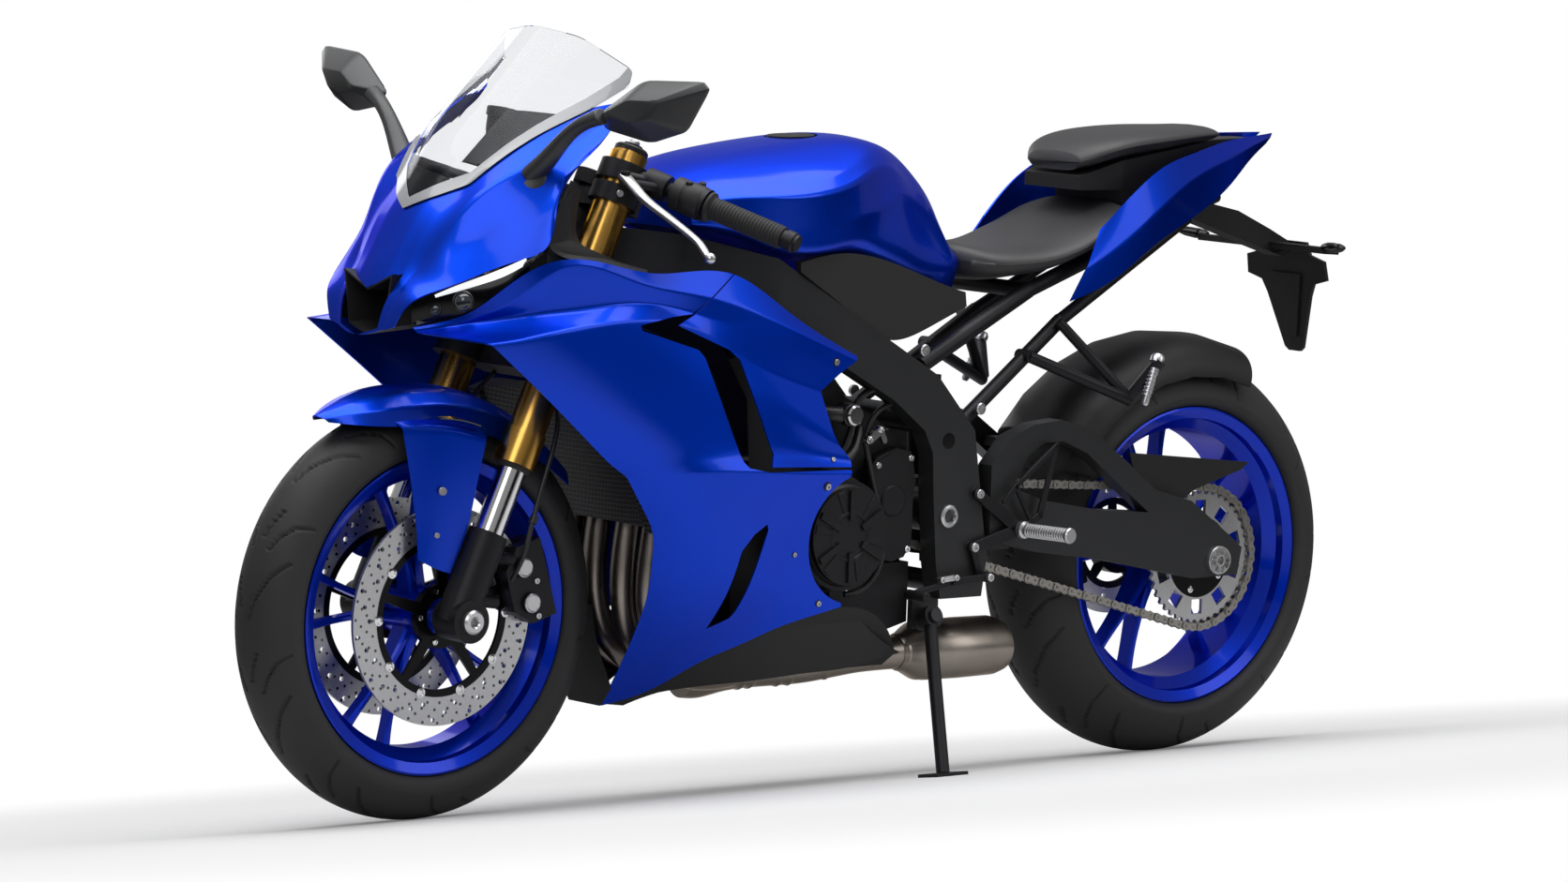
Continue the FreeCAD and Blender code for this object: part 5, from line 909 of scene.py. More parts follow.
covers = [turned(COVER_PROFILE, (ALTERNATOR_AT[0], COVER_FOOT, ALTERNATOR_AT[1]), LEFT, 96),
          turned(np.array(COVER_PROFILE) * (1.0, CLUTCH_DEPTH), (CLUTCH_AT[0], -COVER_FOOT, CLUTCH_AT[1]),
                 RIGHT, 96)]
for turn in np.radians(60 * np.arange(6) + 12):
    along, beside = np.array([math.cos(turn), math.sin(turn)]), np.array([-math.sin(turn), math.cos(turn)])
    covers.append(prism([tuple(ALTERNATOR_AT + along * u + beside * w) for u, w in COVER_RIB], *COVER_RIB_Y))
covers += [prism(SPROCKET_COVER, *SPROCKET_COVER_Y), turned(SPROCKET_CAP, (-66, 131, 436), LEFT)]
covers += [turned(drum(9, 112, 150, 0.3), (x, 0, z), LEFT, 20) for x, z in COVER_LUGS]
piece("engine_cover_castings", joined(covers), "black_metal", edge=1.4)
fittings = [bolt_head(spot, facing, 4.6)
            for at, y, facing in ((ALTERNATOR_AT, 149, LEFT), (CLUTCH_AT, -140, RIGHT))
            for spot in around(at, y, *COVER_BOLTS)]
fittings += [bolt_head((x, y, z), LEFT, radius) for x, y, z, radius in SMALL_BOLTS]
fittings += [turned(COOLANT_PLUG, (COOLANT_AT[0], 150, COOLANT_AT[1]), LEFT, 32),
             bar((-4, 530), (-26, 544), 12, 140, 147), bar((-26, 544), (-34, 528), 9, 140, 146)]
piece("engine_bolts", joined(fittings), "steel", BY_SLOT["bright_steel"])
hoses = [tube([(76, 112, 575), (64, 132, 570), (35, 138, 569)], 13, reference=(0, 0, 1)),
         turned(drum(17, -14, 10, 0.3), (COOLANT_AT[0], 140, COOLANT_AT[1]), LEFT, 32)]
hoses += [tube(path, radius) for path, radius in HOSES]
HOSE_BLACK = finish("hose_black", (0.012, 0.012, 0.013), 0.0, 0.38, drift=0.1)
piece("engine_hoses", joined(hoses), "rubber", HOSE_BLACK)

# Frame fittings. The pivot's hollow axle shows as a bright ring in the plate, and the bolts that carry the
# rear frame. Near-black discs fill the axle's bore and a round window above it, as painted shade in them.
PIVOT_AT, WINDOW_AT, PLATE_Y = (-160.0, 410.0), (-156, 523), 150.2
AXLE_RING = [(10.5, 0), (17, 0), (17, 4), (14, 6), (11.5, 6), (10.5, 4), (10.5, 0)]
FRAME_BOLT = [(0.2, 0), (9, 0), (9, 5), (7.5, 6.5), (4.2, 6.5), (4.2, 3), (0.2, 3)]
BOTH = (1, -1)


def on_both_sides(profile, at, y, segments=48):
    """A turned part at an (x, z) place on each side, facing outward."""
    return [turned(profile, (at[0], side * y, at[1]), (0, side, 0), segments) for side in BOTH]


piece("frame_rings", joined(on_both_sides(AXLE_RING, PIVOT_AT, PLATE_Y)
                            + on_both_sides(FRAME_BOLT, (-103, 660), 146, 32)
                            + on_both_sides(FRAME_BOLT, (-222, 568), 142, 32)), "aluminium")
# Painted shade: near-black discs stand in the axle's bore and in the round window of the plate.
piece("frame_opening_shades", joined(on_both_sides(drum(9.8, 0, 0.5), PIVOT_AT, PLATE_Y, 32)
                              + on_both_sides(drum(12, 0, 0.5), WINDOW_AT, PLATE_Y, 40)),
      "black_metal", LAMP_AND_SHADE_BLACK)

# Rearsets. A forked bracket bolts to the pivot plate each side and carries a knurled bright peg, an open
# triangular heel guard above it, and the pedal with its link below.
BRACKET_IN, BRACKET_OUT, GUARD_OUT = 152.0, 159.0, 164.0
PEG_AT = (-300.0, 384.0)
UPPER_BOLT, LOWER_BOLT, PEDAL_PIVOT, PEDAL_TIP = (-212, 442), (-205, 362), (-222, 318), (-68, 300)
PEDAL_PAD = [(0.2, 168), (7, 168), (8, 172), (8, 212), (7, 214), (0.2, 214)]
GUARD_BARS = [((-262, 428), (-284, 450), 9, 1.0), ((-284, 450), (-364, 509), 8, 1.0),
              ((-364, 509), (-334, 404), 7, 1.6), ((-334, 404), PEG_AT, 12, 1.0),
              ((-284, 450), (-316, 398), 7, 1.0)]
forks = [bar(UPPER_BOLT, PEG_AT, 15, BRACKET_IN, BRACKET_OUT, 1.5),
         bar(LOWER_BOLT, PEG_AT, 14, BRACKET_IN, BRACKET_OUT, 1.5),
         bar(LOWER_BOLT, PEDAL_PIVOT, 11, BRACKET_IN, BRACKET_OUT),
         bar((-225, 318), (-150, 314), 11, 170, 177), bar((-150, 314), (-70, 300), 9, 170, 177)]
forks += [bar(a, b, width, BRACKET_OUT, GUARD_OUT, taper) for a, b, width, taper in GUARD_BARS]
forks += [turned(profile, (x, 0, z), LEFT, 24)
          for (x, z), profile in ((UPPER_BOLT, drum(9, 140, 152)), (LOWER_BOLT, drum(9, 140, 152)),
                                  (PEDAL_PIVOT, drum(8, 150, 178)), (PEDAL_TIP, PEDAL_PAD))]
piece("rearset_brackets", joined(forks), "black_metal", instead_of=["rearsets"], twin=True, edge=1.0)


def ribbed(start, ribs, rib, end):
    """A turned profile with a rib repeated at each of several places along it, between two ends."""
    return start + [(radius, at + along) for at in ribs for radius, along in rib] + end


knurled = ribbed([(0.2, 0), (13, 0), (13, 8), (9.5, 10)], [14 + 5 * k for k in range(16)],
                 [(9.2, 0), (10.8, 1.2), (10.8, 3.0), (9.2, 4.2)],
                 [(9.5, 96), (12, 97), (12, 101), (10.5, 103), (0.2, 103)])
pegs = [turned(knurled, (PEG_AT[0], BRACKET_OUT, PEG_AT[1]), (-0.08, 1, 0.01), 36),
        bar((-150, 322), (-122, 320), 8, 178, 184)]
pegs += [bolt_head((x, y, z), LEFT, radius)
         for (x, z), y, radius in ((UPPER_BOLT, BRACKET_OUT, 7), (LOWER_BOLT, BRACKET_OUT, 7),
                                   (PEDAL_PIVOT, 178, 6), ((-150, 322), 184, 4.5), ((-122, 320), 184, 4.5))]
piece("rider_pegs", joined(pegs), "aluminium", twin=True)

# Panel screws. Small dished screws on black washers hold each side fairing to its brackets, sunk into
# the skin and facing as it faces.
SCREWS = [((119, 655), 4.6), ((143, 476), 5.0), ((190, 377), 3.4), ((132, 301), 4.0), ((128, 514), 3.4)]
SCREW_SUNK, WASHER_SIZE = 0.6, 1.35
flank_points, flank_normals = flank_grid.reshape(-1, 3), grid_normals(flank_grid).reshape(-1, 3)
heads, washers = [], []
for (x, z), radius in SCREWS:
    nearest = np.argmin((flank_points[:, 0] - x) ** 2 + (flank_points[:, 2] - z) ** 2)
    spot, facing = np.array([x, flank_points[nearest, 1], z]), flank_normals[nearest]
    heads.append(bolt_head(spot - facing * SCREW_SUNK, facing, radius))
    washers.append(turned(drum(radius * WASHER_SIZE, -0.5, 0.5), spot, facing, 24))
piece("fairing_screws", joined(heads), "steel", twin=True)
piece("fairing_screw_washers", joined(washers), "black_plastic", twin=True)

# Discs. Drilled steel rings on black carriers, held by bright buttons. The imported pieces stay; their
# material turns from steel to black inside the ring, and the buttons and hub bolts are added. Near-black
# discs on both faces of each front ring are painted shade where its drilled holes are.
FRONT_AT, REAR_AT = (720.0, 300.0), (-720.0, 315.0)
DISC_Y, DISC_INNER, DISC_OUTER, DISC_FACE = 63.0, 116.0, 160.0, 2.4
REAR_DISC_Y, REAR_DISC_INNER = -92.0, 72.0
SPROCKET_SPLIT, SPROCKET_FACE = 63.0, 106.8
HOLE_ROWS, HOLES_ROUND, HOLE_TWIST = 4, 36, 0.37
HOLE_SPAN, HOLE = (DISC_INNER + 8, DISC_OUTER - 7), drum(2.4, -0.4, 0.15)
STEEL_TONE, BLACK_TONE = (0.52, 0.52, 0.53, 1), (0.012, 0.012, 0.013, 1)


def two_tone(name, axle, split):
    """Metal that is black within a radius of an axle and steel beyond it.

    The radius is the length of the cross product of the place from the axle with the axle's direction.
    """
    material, tree, shader = look(name, {"Metallic": 0.9})
    off = add_node(tree, "ShaderNodeVectorMath", {0: add_node(tree, "ShaderNodeTexCoord").outputs["Object"],
                                                  1: parked(np.array([axle[0], 0, axle[1]]) / 1000.0)},
                   operation="SUBTRACT")
    across = add_node(tree, "ShaderNodeVectorMath", {0: off.outputs[0], 1: tuple(UPRIGHT_TO_PARKED[:, 1])},
                      operation="CROSS_PRODUCT")
    reach = add_node(tree, "ShaderNodeVectorMath", {0: across.outputs[0]}, operation="LENGTH")
    beyond = add_node(tree, "ShaderNodeMath", {0: reach.outputs["Value"], 1: split / 1000.0},
                      operation="GREATER_THAN")
    tone = add_node(tree, "ShaderNodeMix", {"A": BLACK_TONE, "B": STEEL_TONE, "Factor": beyond.outputs[0]},
                    data_type="RGBA")
    cast_skin(tree, shader, {"Color": tone.outputs["Result"], "Roughness": 0.3, "Drift": 0.2,
                             "Roughness Drift": 0.2})
    return material


for name, axle, split in (("front_discs", FRONT_AT, DISC_INNER - 0.5),
                          ("rear_disc", REAR_AT, REAR_DISC_INNER - 0.5),
                          ("rear_sprocket", REAR_AT, SPROCKET_SPLIT)):
    dress(nodes[name], two_tone(f"{name}_metal", axle, split))


def buttons(axle, y, side, reach, count, radius):
    """The bright buttons that hold a ring to its carrier, seen as small stepped discs."""
    profile = [(0.2, 0), (radius, 0), (radius, 2.0), (radius * 0.6, 2.4), (radius * 0.5, 1.2), (0.2, 1.2)]
    return [turned(profile, spot, (0, side, 0), 20) for spot in around(axle, y, reach, count)]


front_metal, holes = [], []
for side in BOTH:
    outside = side * (DISC_Y + DISC_FACE)
    front_metal += buttons(FRONT_AT, outside, side, DISC_INNER - 3, 10, 7.5)
    front_metal += buttons(FRONT_AT, outside, side, 38, 5, 4.5)
    for face in BOTH:
        for row, reach in enumerate(np.linspace(*HOLE_SPAN, HOLE_ROWS)):
            spots = around(FRONT_AT, side * (DISC_Y + face * DISC_FACE), reach, HOLES_ROUND,
                           2 * math.pi * HOLE_TWIST * row / HOLES_ROUND)
            holes += [turned(HOLE, spot, (0, side * face, 0), 8) for spot in spots]
piece("front_disc_buttons", joined(front_metal), "steel", BY_SLOT["bright_steel"], "front_wheel")
# Painted shade: near-black discs on the ring faces stand for the dark of the drilled holes.
piece("front_disc_hole_shades", joined(holes), "black_metal", LAMP_AND_SHADE_BLACK, "front_wheel")
piece("rear_wheel_bolts", joined(buttons(REAR_AT, REAR_DISC_Y - DISC_FACE, -1, REAR_DISC_INNER - 3, 6, 6)
                                 + buttons(REAR_AT, SPROCKET_FACE, 1, 52, 5, 5.5)),
      "steel", BY_SLOT["bright_steel"], "rear_wheel")

# Axle ends and calipers. A thick bright ring closes each axle, and each front caliper shows two bright
# piston caps and its bolts.
for name, at, y, r, body in (("front_axle_rings", FRONT_AT, 135.0, 17.5, "steering"),
                             ("rear_axle_rings", REAR_AT, 148.0, 22.0, "root")):
    profile = [(7, 0), (r, 0), (r, 6), (r - 3, 9), (9, 9), (7, 7), (7, 0)]
    piece(name, joined(on_both_sides(profile, at, y)), "aluminium", body=body)
CALIPER_TURN = math.radians(-90 + 17)
CALIPER_CAP = [(0.2, 0), (14, 0), (14, 2.5), (12, 4), (10.5, 2.8), (0.2, 2.8)]


def caliper_point(x, y, out):
    """A place on the left caliper, from its own drawing above the axle turned round the axle."""
    c, s = math.cos(CALIPER_TURN), math.sin(CALIPER_TURN)
    return (FRONT_AT[0] + x * c + out * s, y, FRONT_AT[1] - x * s + out * c)


caps = [turned(CALIPER_CAP, caliper_point(x, DISC_Y + 31, DISC_INNER + 22), LEFT, 40) for x in (-27, 27)]
caps += [bolt_head(caliper_point(x, DISC_Y + 27, DISC_INNER + out), LEFT, 4.5)
         for x, out in ((-50, 30), (50, 30), (0, 40))]
piece("caliper_caps", joined(caps), "aluminium", body="steering", twin=True)

# Bars and controls. Black clip-on clamps and switch housings, ribbed rubber grips with stepped weights,
# and bright levers, each drawn to a ball at its end.
BAR_FROM, BAR_TO = np.array([448.0, 112.0, 932.0]), np.array([331.0, 350.0, 846.0])
BAR_ALONG = unit(BAR_TO - BAR_FROM)
GRIP_LENGTH = float(np.linalg.norm(BAR_TO - BAR_FROM)) * 0.44 / 126
RAKE = math.radians(24)
LEG_UP = np.array([-math.sin(RAKE), 0, math.cos(RAKE)])
LEG_AHEAD = np.array([math.cos(RAKE), 0, math.sin(RAKE)])
LEG_ROOT, LEG_Y = np.array([726.0, 0, 300.0]), 105.0


def on_bar(share, offset=(0, 0, 0)):
    """A point on the left bar, from its root at 0 to its tip at 1, or beside it by an offset."""
    return BAR_FROM + (BAR_TO - BAR_FROM) * share + offset


def on_leg(s, y, ahead=0.0):
    """A point s up the fork leg from the axle's height, y across and a distance ahead of its middle."""
    return LEG_ROOT + LEG_UP * s + LEG_AHEAD * ahead + np.array([0, y, 0])


def steering_piece(name, parts, slot, material=None, twin=True, **more):
    """A piece of several parts that turns with the bars."""
    piece(name, joined(parts), slot, material, "steering", twin=twin, **more)


GRIP_AT, WEIGHT_AT, HOUSING_AT, PERCH_AT = 0.5, 0.941, 0.30, 0.13
WEIGHT = [(0.2, 0), (13, 0), (13, 5), (15, 6), (15, 18), (12.5, 20), (12.5, 24), (0.2, 24)]
HOUSING = [(11.2, 0), (23, 0), (24.5, 2), (24.5, 16), (23, 18), (23, 20), (25, 22), (25, 44), (23, 48),
           (11.2, 48)]
PERCH = [(11.2, 0), (19, 0), (20, 2), (20, 34), (19, 36), (11.2, 36)]
BUTTONS = [(10, 0.412, 6), (-12, 0.419, 5), (2, 0.426, 4)]
grip = ribbed([(11.2, 0), (22, 0), (22, 4), (17.5, 6)], [8 + 5.2 * k for k in range(22)],
              [(16.0, 0), (16.9, 1.0), (16.9, 3.6), (16.0, 4.6)], [(16.6, 124), (15.5, 126), (11.2, 126)])
steering_piece("grip_rubbers", [turned(np.array(grip) * (1, GRIP_LENGTH), on_bar(GRIP_AT), BAR_ALONG)],
               "rubber", instead_of=["grips"])
steering_piece("bar_weights", [turned(WEIGHT, on_bar(WEIGHT_AT), BAR_ALONG, 40)], "black_metal")
housing = [turned(HOUSING, on_bar(HOUSING_AT), BAR_ALONG, 40)]
housing += [turned([(0.2, 0), (5.5, 0), (5.5, high), (4.5, high + 1), (0.2, high + 1)],
                   on_bar(share, (ahead, 0, 21)), (0, 0.3, 1), 20) for ahead, share, high in BUTTONS]
steering_piece("switch_housings", housing, "black_plastic", edge=0.8)

LEVER_PATH = [(478, 148, 928), (482, 170, 918), (483, 196, 902), (473, 232, 880), (461, 268, 858),
              (458, 296, 842), (463, 316, 831), (466, 326, 826)]
LEVER_BALL, BALL_RADIUS = (466, 330, 825), 8
LEVER_WIDE, LEVER_TALL, LEVER_ROUND = (9.5, 5.5), (5.5, 4.2), (0.6, 0.8)
lever_line = spline_line(LEVER_PATH, 60)
lever_ahead = unit(np.gradient(lever_line, axis=0))
lever_out = unit(np.cross(lever_ahead, np.array([0.0, 0.35, 1.0])))
wide, tall = [np.linspace(*ends, 60)[None, :, None] for ends in (LEVER_WIDE, LEVER_TALL)]
a = np.linspace(0, 2 * np.pi, 25)[:-1][:, None, None]
lever_grid = (lever_line + lever_out * wide * squared(np.cos(a), LEVER_ROUND[0])
              + np.cross(lever_out, lever_ahead) * tall * squared(np.sin(a), LEVER_ROUND[1]))
rise = np.linspace(-np.pi / 2, np.pi / 2, 15)
ball = np.column_stack([BALL_RADIUS * np.cos(rise) + 0.02, BALL_RADIUS * np.sin(rise)])
steering_piece("hand_levers", [closed_tube(lever_grid), turned(ball, LEVER_BALL, LEFT, 24)], "aluminium",
               instead_of=["levers"])
steering_piece("lever_perches", [
    turned(PERCH, on_bar(PERCH_AT), BAR_ALONG, 36),
    tube([on_bar(0.16, (14, 0, 2)), (472, 140, 926), (480, 152, 925)], 9),
    bolt_head((480, 152, 930), (0, 0, 1), 7),
    tube([on_bar(0.24, (12, 0, 0)), (476, 168, 918)], 7)], "black_metal", edge=0.6)

# Fork heads. A dark cap with a bright adjuster closes each gold tube, above the clamp's pinch bolts, a
# wiper seals the slider, and a hose runs down behind each leg to its caliper.
LEG_TOP, WIPER_AT = 722, 236
FORK_CAP = [(0.2, -3), (25, -3), (25, 3), (22, 6), (14, 6), (14, 10), (0.2, 10)]
ADJUSTER = [(0.2, 10), (8, 10), (8, 15), (6, 17), (0.2, 17)]
WIPER = [(21.7, -7), (24, -7), (25.5, -3), (25.5, 0), (21.7, 0)]
BRAKE_LINE = [(378, 60, -36), (330, 104, -44), (250, 122, -46), (170, 126, -52), (110, 120, -62),
              (88, 104, -70)]


def on_both_legs(profile, s, segments):
    """A turned part round each fork leg, a height s up it."""
    return [turned(profile, on_leg(s, side * LEG_Y), LEG_UP, segments) for side in BOTH]


pinch, lines = on_both_legs(ADJUSTER, LEG_TOP, 24), []
for side in BOTH:
    pinch += [bolt_head(on_leg(s, side * (LEG_Y + 30), 16), (0.5, side, 0.2), 5) for s in (392, 404, 652)]
    lines += [tube([on_leg(s, side * y, ahead) for s, y, ahead in BRAKE_LINE], 3.6),
              turned(drum(6, 0, 12), on_leg(170, 126 * side, -52), LEG_UP, 20)]
steering_piece("fork_caps", on_both_legs(FORK_CAP, LEG_TOP, 40), "black_metal", twin=False)
steering_piece("fork_bolts", pinch, "aluminium", twin=False)
steering_piece("fork_wipers", on_both_legs(WIPER, WIPER_AT, 48), "rubber", twin=False)
steering_piece("brake_lines", lines, "rubber", HOSE_BLACK, twin=False)

# Fluid pot. A dark reservoir with a wider cap stands on the right bar behind the screen, leaning back a
# little, and its hose runs down to the bar.
POT_FOOT, POT_LEAN = (478, -150, 960), (-0.15, 0, 1)
POT_CAP = [(0.2, 34), (20.5, 34), (20.5, 45), (19, 48), (0.2, 48)]
POT_HOSE = [(478, -150, 962), (470, -142, 950), (460, -120, 944)]
pot = [turned(profile, POT_FOOT, POT_LEAN, 40) for profile in (drum(18, 0, 34), POT_CAP)]
steering_piece("fluid_pot", pot + [tube(POT_HOSE, 5)], "black_plastic", twin=False, edge=0.6)

# Mirrors. Matt dark shells swept back from blade arms on black foot plates, with a soft ridge across the
# front of each shell and the glass set into its back.
MIRROR_RIM = [(250, 1026), (330, 1077), (436, 1081), (447, 1071), (408, 1010), (344, 990), (262, 1004)]
RIM_CORNER, MIRROR_SWEEP, MIRROR_ROOT = 0.16, 0.163, (608, 250)
MIRROR_MIDDLE = np.array([335.0, 1035.0])
MIRROR_STATIONS = [(-8.0, 0.90, 0.90), (-6.0, 0.96, 0.96), (-3.0, 1.0, 1.0), (1.0, 1.0, 1.0),
                   (4.0, 0.97, 0.97), (32.0, 0.52, 0.416), (34.0, 0.44, 0.352)]
MIRROR_ARM = [(646, 150, 934, 20, 12), (640, 172, 955, 17, 11), (633, 205, 989, 13, 9),
              (626, 238, 1012, 12, 9), (618, 268, 1023, 13, 11)]
ARM_SQUEEZE = 0.6
MIRROR_FOOT = [(0.2, -8), (30, -8), (31, -4), (26, 2), (16, 7), (0.2, 8)]
GLASS_PROUD, GLASS_THICK, GLASS_DEEP, GLASS_MIDDLE = 0.5, 2.0, 10.5, 0.02


def rounded_ring(corners, share, steps):
    """A closed outline whose corners are parabolas that start a share of each side away from them."""
    corners = np.asarray(corners, float)
    before, after = np.roll(corners, 1, axis=0), np.roll(corners, -1, axis=0)
    t = np.linspace(0, 1, steps)[None, :, None]
    first = corners + (before - corners) * share
    last = corners + (after - corners) * share
    bend = (1 - t) ** 2 * first[:, None] + 2 * t * (1 - t) * corners[:, None] + t ** 2 * last[:, None]
    return bend.reshape(-1, 2)


def swept_ring(lift, wide, tall):
    """The mirror's outline in the swept plane, shrunk about its middle and lifted ahead of the plane."""
    flat = MIRROR_MIDDLE + (rounded_ring(MIRROR_RIM, RIM_CORNER, 9) - MIRROR_MIDDLE) * (wide, tall)
    return np.column_stack([MIRROR_ROOT[0] - MIRROR_SWEEP * (flat[:, 0] - MIRROR_ROOT[1]) + lift, flat])


mirror_rings = [swept_ring(*station) for station in MIRROR_STATIONS]
a = np.linspace(0, 2 * np.pi, 25)[:-1]
arm = [np.column_stack([x + wide * np.cos(a), y - ARM_SQUEEZE * tall * np.sin(a), z + tall * np.sin(a)])
       for x, y, z, wide, tall in MIRROR_ARM]
MIRROR_GREY = finish("mirror_grey", (0.034, 0.035, 0.037), 0.1, 0.42, fine=1900.0, bump=0.2, drift=0.08)
piece("mirror_shells", joined([closed_tube(np.stack(mirror_rings, axis=1)), lofted(arm, 32),
                               turned(MIRROR_FOOT, (650, 150, 930), (0.55, 0.62, 0.56))]),
      "black_plastic", MIRROR_GREY, instead_of=["mirrors"], twin=True, crease=34, edge=1.5)
glass_rim = mirror_rings[0] - (GLASS_PROUD, 0, 0)
glass_middle = glass_rim.copy()
glass_middle[:, 1:] = MIRROR_MIDDLE + (glass_rim[:, 1:] - MIRROR_MIDDLE) * GLASS_MIDDLE
glass_middle[:, 0] = MIRROR_ROOT[0] - MIRROR_SWEEP * (glass_middle[:, 1] - MIRROR_ROOT[1]) - GLASS_DEEP
MIRROR_GLASS = finish("mirror_glass", (0.86, 0.87, 0.88), 1.0, 0.03, drift=0.01, rough_drift=0.0)
glass = np.stack([glass_middle, glass_rim, glass_rim + (GLASS_THICK, 0, 0)], axis=1)
piece("mirror_glasses", closed_tube(glass), "lamp", MIRROR_GLASS, twin=True)

# Front mudguard. One thin moulding over the tyre, drawn to a point ahead, with a crease along each edge
# and a wing each side that reaches down the fork leg to its foot. Beside the leg a near-black sheet on the
# skin is painted shade where a slot opens.
MUDGUARD = [
    [(905, 0, 588), (866, 0, 607), (802, 0, 624), (745, 0, 628), (690, 0, 624), (620, 0, 604),
     (545, 0, 562), (486, 0, 512)],
    [(903, 7, 587), (864, 24, 603), (802, 34, 619), (745, 36, 623), (690, 36, 618), (620, 36, 598),
     (545, 34, 556), (487, 31, 507)],
    [(899, 14, 584), (858, 44, 593), (800, 60, 600), (744, 64, 603), (688, 64, 598), (618, 63, 580),
     (546, 60, 541), (491, 54, 495)],
    [(894, 18, 579), (848, 56, 576), (796, 67, 574), (743, 70, 572), (686, 70, 566), (615, 70, 544),
     (546, 68, 512), (494, 62, 478)],
]
WING = [
    [(812, 62, 582), (764, 66, 583), (716, 67, 579), (672, 66, 570)],
    [(806, 74, 573), (768, 90, 576), (722, 99, 571), (676, 102, 560)],
    [(792, 78, 500), (762, 93, 502), (726, 100, 498), (692, 102, 492)],
    [(782, 82, 430), (762, 93, 431), (736, 99, 429), (706, 101, 425)],
    [(780, 84, 386), (766, 92, 378), (748, 97, 370), (733, 99, 366)],
]
SLOT_SHADE = [[(752, 80, 588), (722, 84, 587), (690, 84, 580)], [(748, 86, 586), (716, 96, 583), (684, 98, 574)]]
WING_SCREWS = [(752, 99, 484, 6.0), (757, 96, 421, 4.0)]
for name, grid, thick, node, twin in (
        ("mudguard_shell", whole_skin(MUDGUARD, [0.8, 0.6, 0.25, 0], 90, 8), 2.2, ["front_mudguard"], False),
        ("mudguard_wings", skin_grid(WING, [0, 0.3, 0.7, 0.7, 0], 60, 12), 2.4, (), True)):
    piece(name, walled(grid, thick), "body_blue", None, "steering", node, twin=twin, crease=38)
# Painted shade: a near-black sheet on each side of the skin where the slot opens.
piece("mudguard_slot_shades", walled(skin_grid(SLOT_SHADE, [0, 0], 12, 6), 1.5), "black_plastic", LAMP_AND_SHADE_BLACK, "steering",
      twin=True)
steering_piece("mudguard_screws", [bolt_head((x, y, z), (0.35, 0.93, 0), r) for x, y, z, r in WING_SCREWS],
               "steel")

# Exhaust. Four titanium headers drop from the head behind the radiator, gather under the engine into one
# link pipe with ribbed joints, and end in a short satin silencer low on the left of the arm.
HEADER = [(292, 1, 588), (330, 1, 584), (352, 1, 562), (354, 1, 500), (358, 1, 420), (366, 0.98, 340),
          (352, 0.92, 262), (300, 0.75, 202), (220, 0.5, 178), (150, 0.3, 176)]
HEADERS_Y, HEADER_RADIUS = (-96, -34, 34, 96), 18.5
LINK = [(230, 6, 176), (150, 8, 176), (75, 12, 177), (10, 26, 180), (-60, 58, 194), (-100, 62, 196),
        (-141, 62, 196)]
LINK_RADIUS, LINK_SAMPLES = 25, 120
LINK_SWELLS = [(0.06, 9, 0.12)] + [(at, 2.2, 0.006) for at in (0.28, 0.33, 0.46, 0.51, 0.66)]
SILENCER = [(0, 26, 26), (6, 30, 29), (10, 30, 29), (34, 46, 41), (40, 49, 44), (44, 49, 44),
            (48, 47.5, 42.5), (52, 50, 45), (120, 51.5, 46), (186, 50.5, 45), (200, 47, 41), (206, 40, 34),
            (208, 30, 26), (208, 1, 1)]
SILENCER_AT = (-140, 62, 196)
OUTLET = [(16, -8), (20, -8), (20, 24), (18, 25), (16, 24), (16, -8)]
pipes = []
for y in HEADERS_Y:
    pipes += [tube([(x, y * share, z) for x, share, z in HEADER], HEADER_RADIUS, 24, 90),
              turned(drum(25, 0, 8, 0.3), (318, y, 590), (1, 0, -0.25), 28)]
share = np.linspace(0, 1, LINK_SAMPLES)
link_radius = LINK_RADIUS + sum(high * np.exp(-((share - at) / wide) ** 2) for at, high, wide in LINK_SWELLS)
pipes.append(tube(LINK, link_radius, 32, LINK_SAMPLES, (0, 0, 1)))
piece("exhaust_headers", joined(pipes), "titanium", instead_of=["exhaust_pipes"])
a = np.linspace(0, 2 * np.pi, 65)[:-1]
can = np.stack([np.column_stack([np.full_like(a, -behind), half_y * np.cos(a), half_z * np.sin(a)])
                for behind, half_y, half_z in SILENCER], axis=1) + SILENCER_AT
piece("silencer_can", joined([closed_tube(can), turned(OUTLET, (-345, 40, 200), (-1, 0, 0.15), 32)]),
      "titanium", instead_of=["silencer"])

# Radiator. A bowed core of fine cells between two side tanks; the cells are small oblong pits in
# staggered rows, drawn from the place on the core's face. The pits are painted near black as shade
# inside them, between greyer walls.
RADIATOR_CELL, CELL_WIDE, CELL_WALL = 0.0052, 1.6, 0.16
RADIATOR_TURN = (LEAN, math.radians(24), 0)
core_look, tree, shader = look("radiator_core", {"Roughness": 0.5, "Metallic": 0.4})
where = add_node(tree, "ShaderNodeTexCoord").outputs["Object"]
on_face = add_node(tree, "ShaderNodeMapping", {"Vector": where, "Rotation": RADIATOR_TURN})
spread = add_node(tree, "ShaderNodeSeparateXYZ", {0: on_face.outputs[0]})
flat = add_node(tree, "ShaderNodeCombineXYZ", {"X": spread.outputs["Y"], "Y": spread.outputs["Z"]})
# Painted shade: the cells' near-black colours against the grey walls.
cells = add_node(tree, "ShaderNodeTexBrick",
                 {"Vector": flat.outputs[0], "Scale": 1.0, "Brick Width": RADIATOR_CELL * CELL_WIDE,
                  "Row Height": RADIATOR_CELL, "Mortar Size": RADIATOR_CELL * CELL_WALL,
                  "Mortar Smooth": 0.3,
                  "Color1": (0.004, 0.004, 0.004, 1), "Color2": (0.008, 0.008, 0.008, 1),
                  "Mortar": (0.075, 0.075, 0.078, 1)}, offset=0.5)
pits = add_node(tree, "ShaderNodeBump", {"Strength": 0.6, "Distance": 0.001, "Height": cells.outputs["Fac"]})
feed(shader, {"Base Color": cells.outputs["Color"], "Normal": pits.outputs["Normal"]})
dress(nodes["radiator"], core_look)
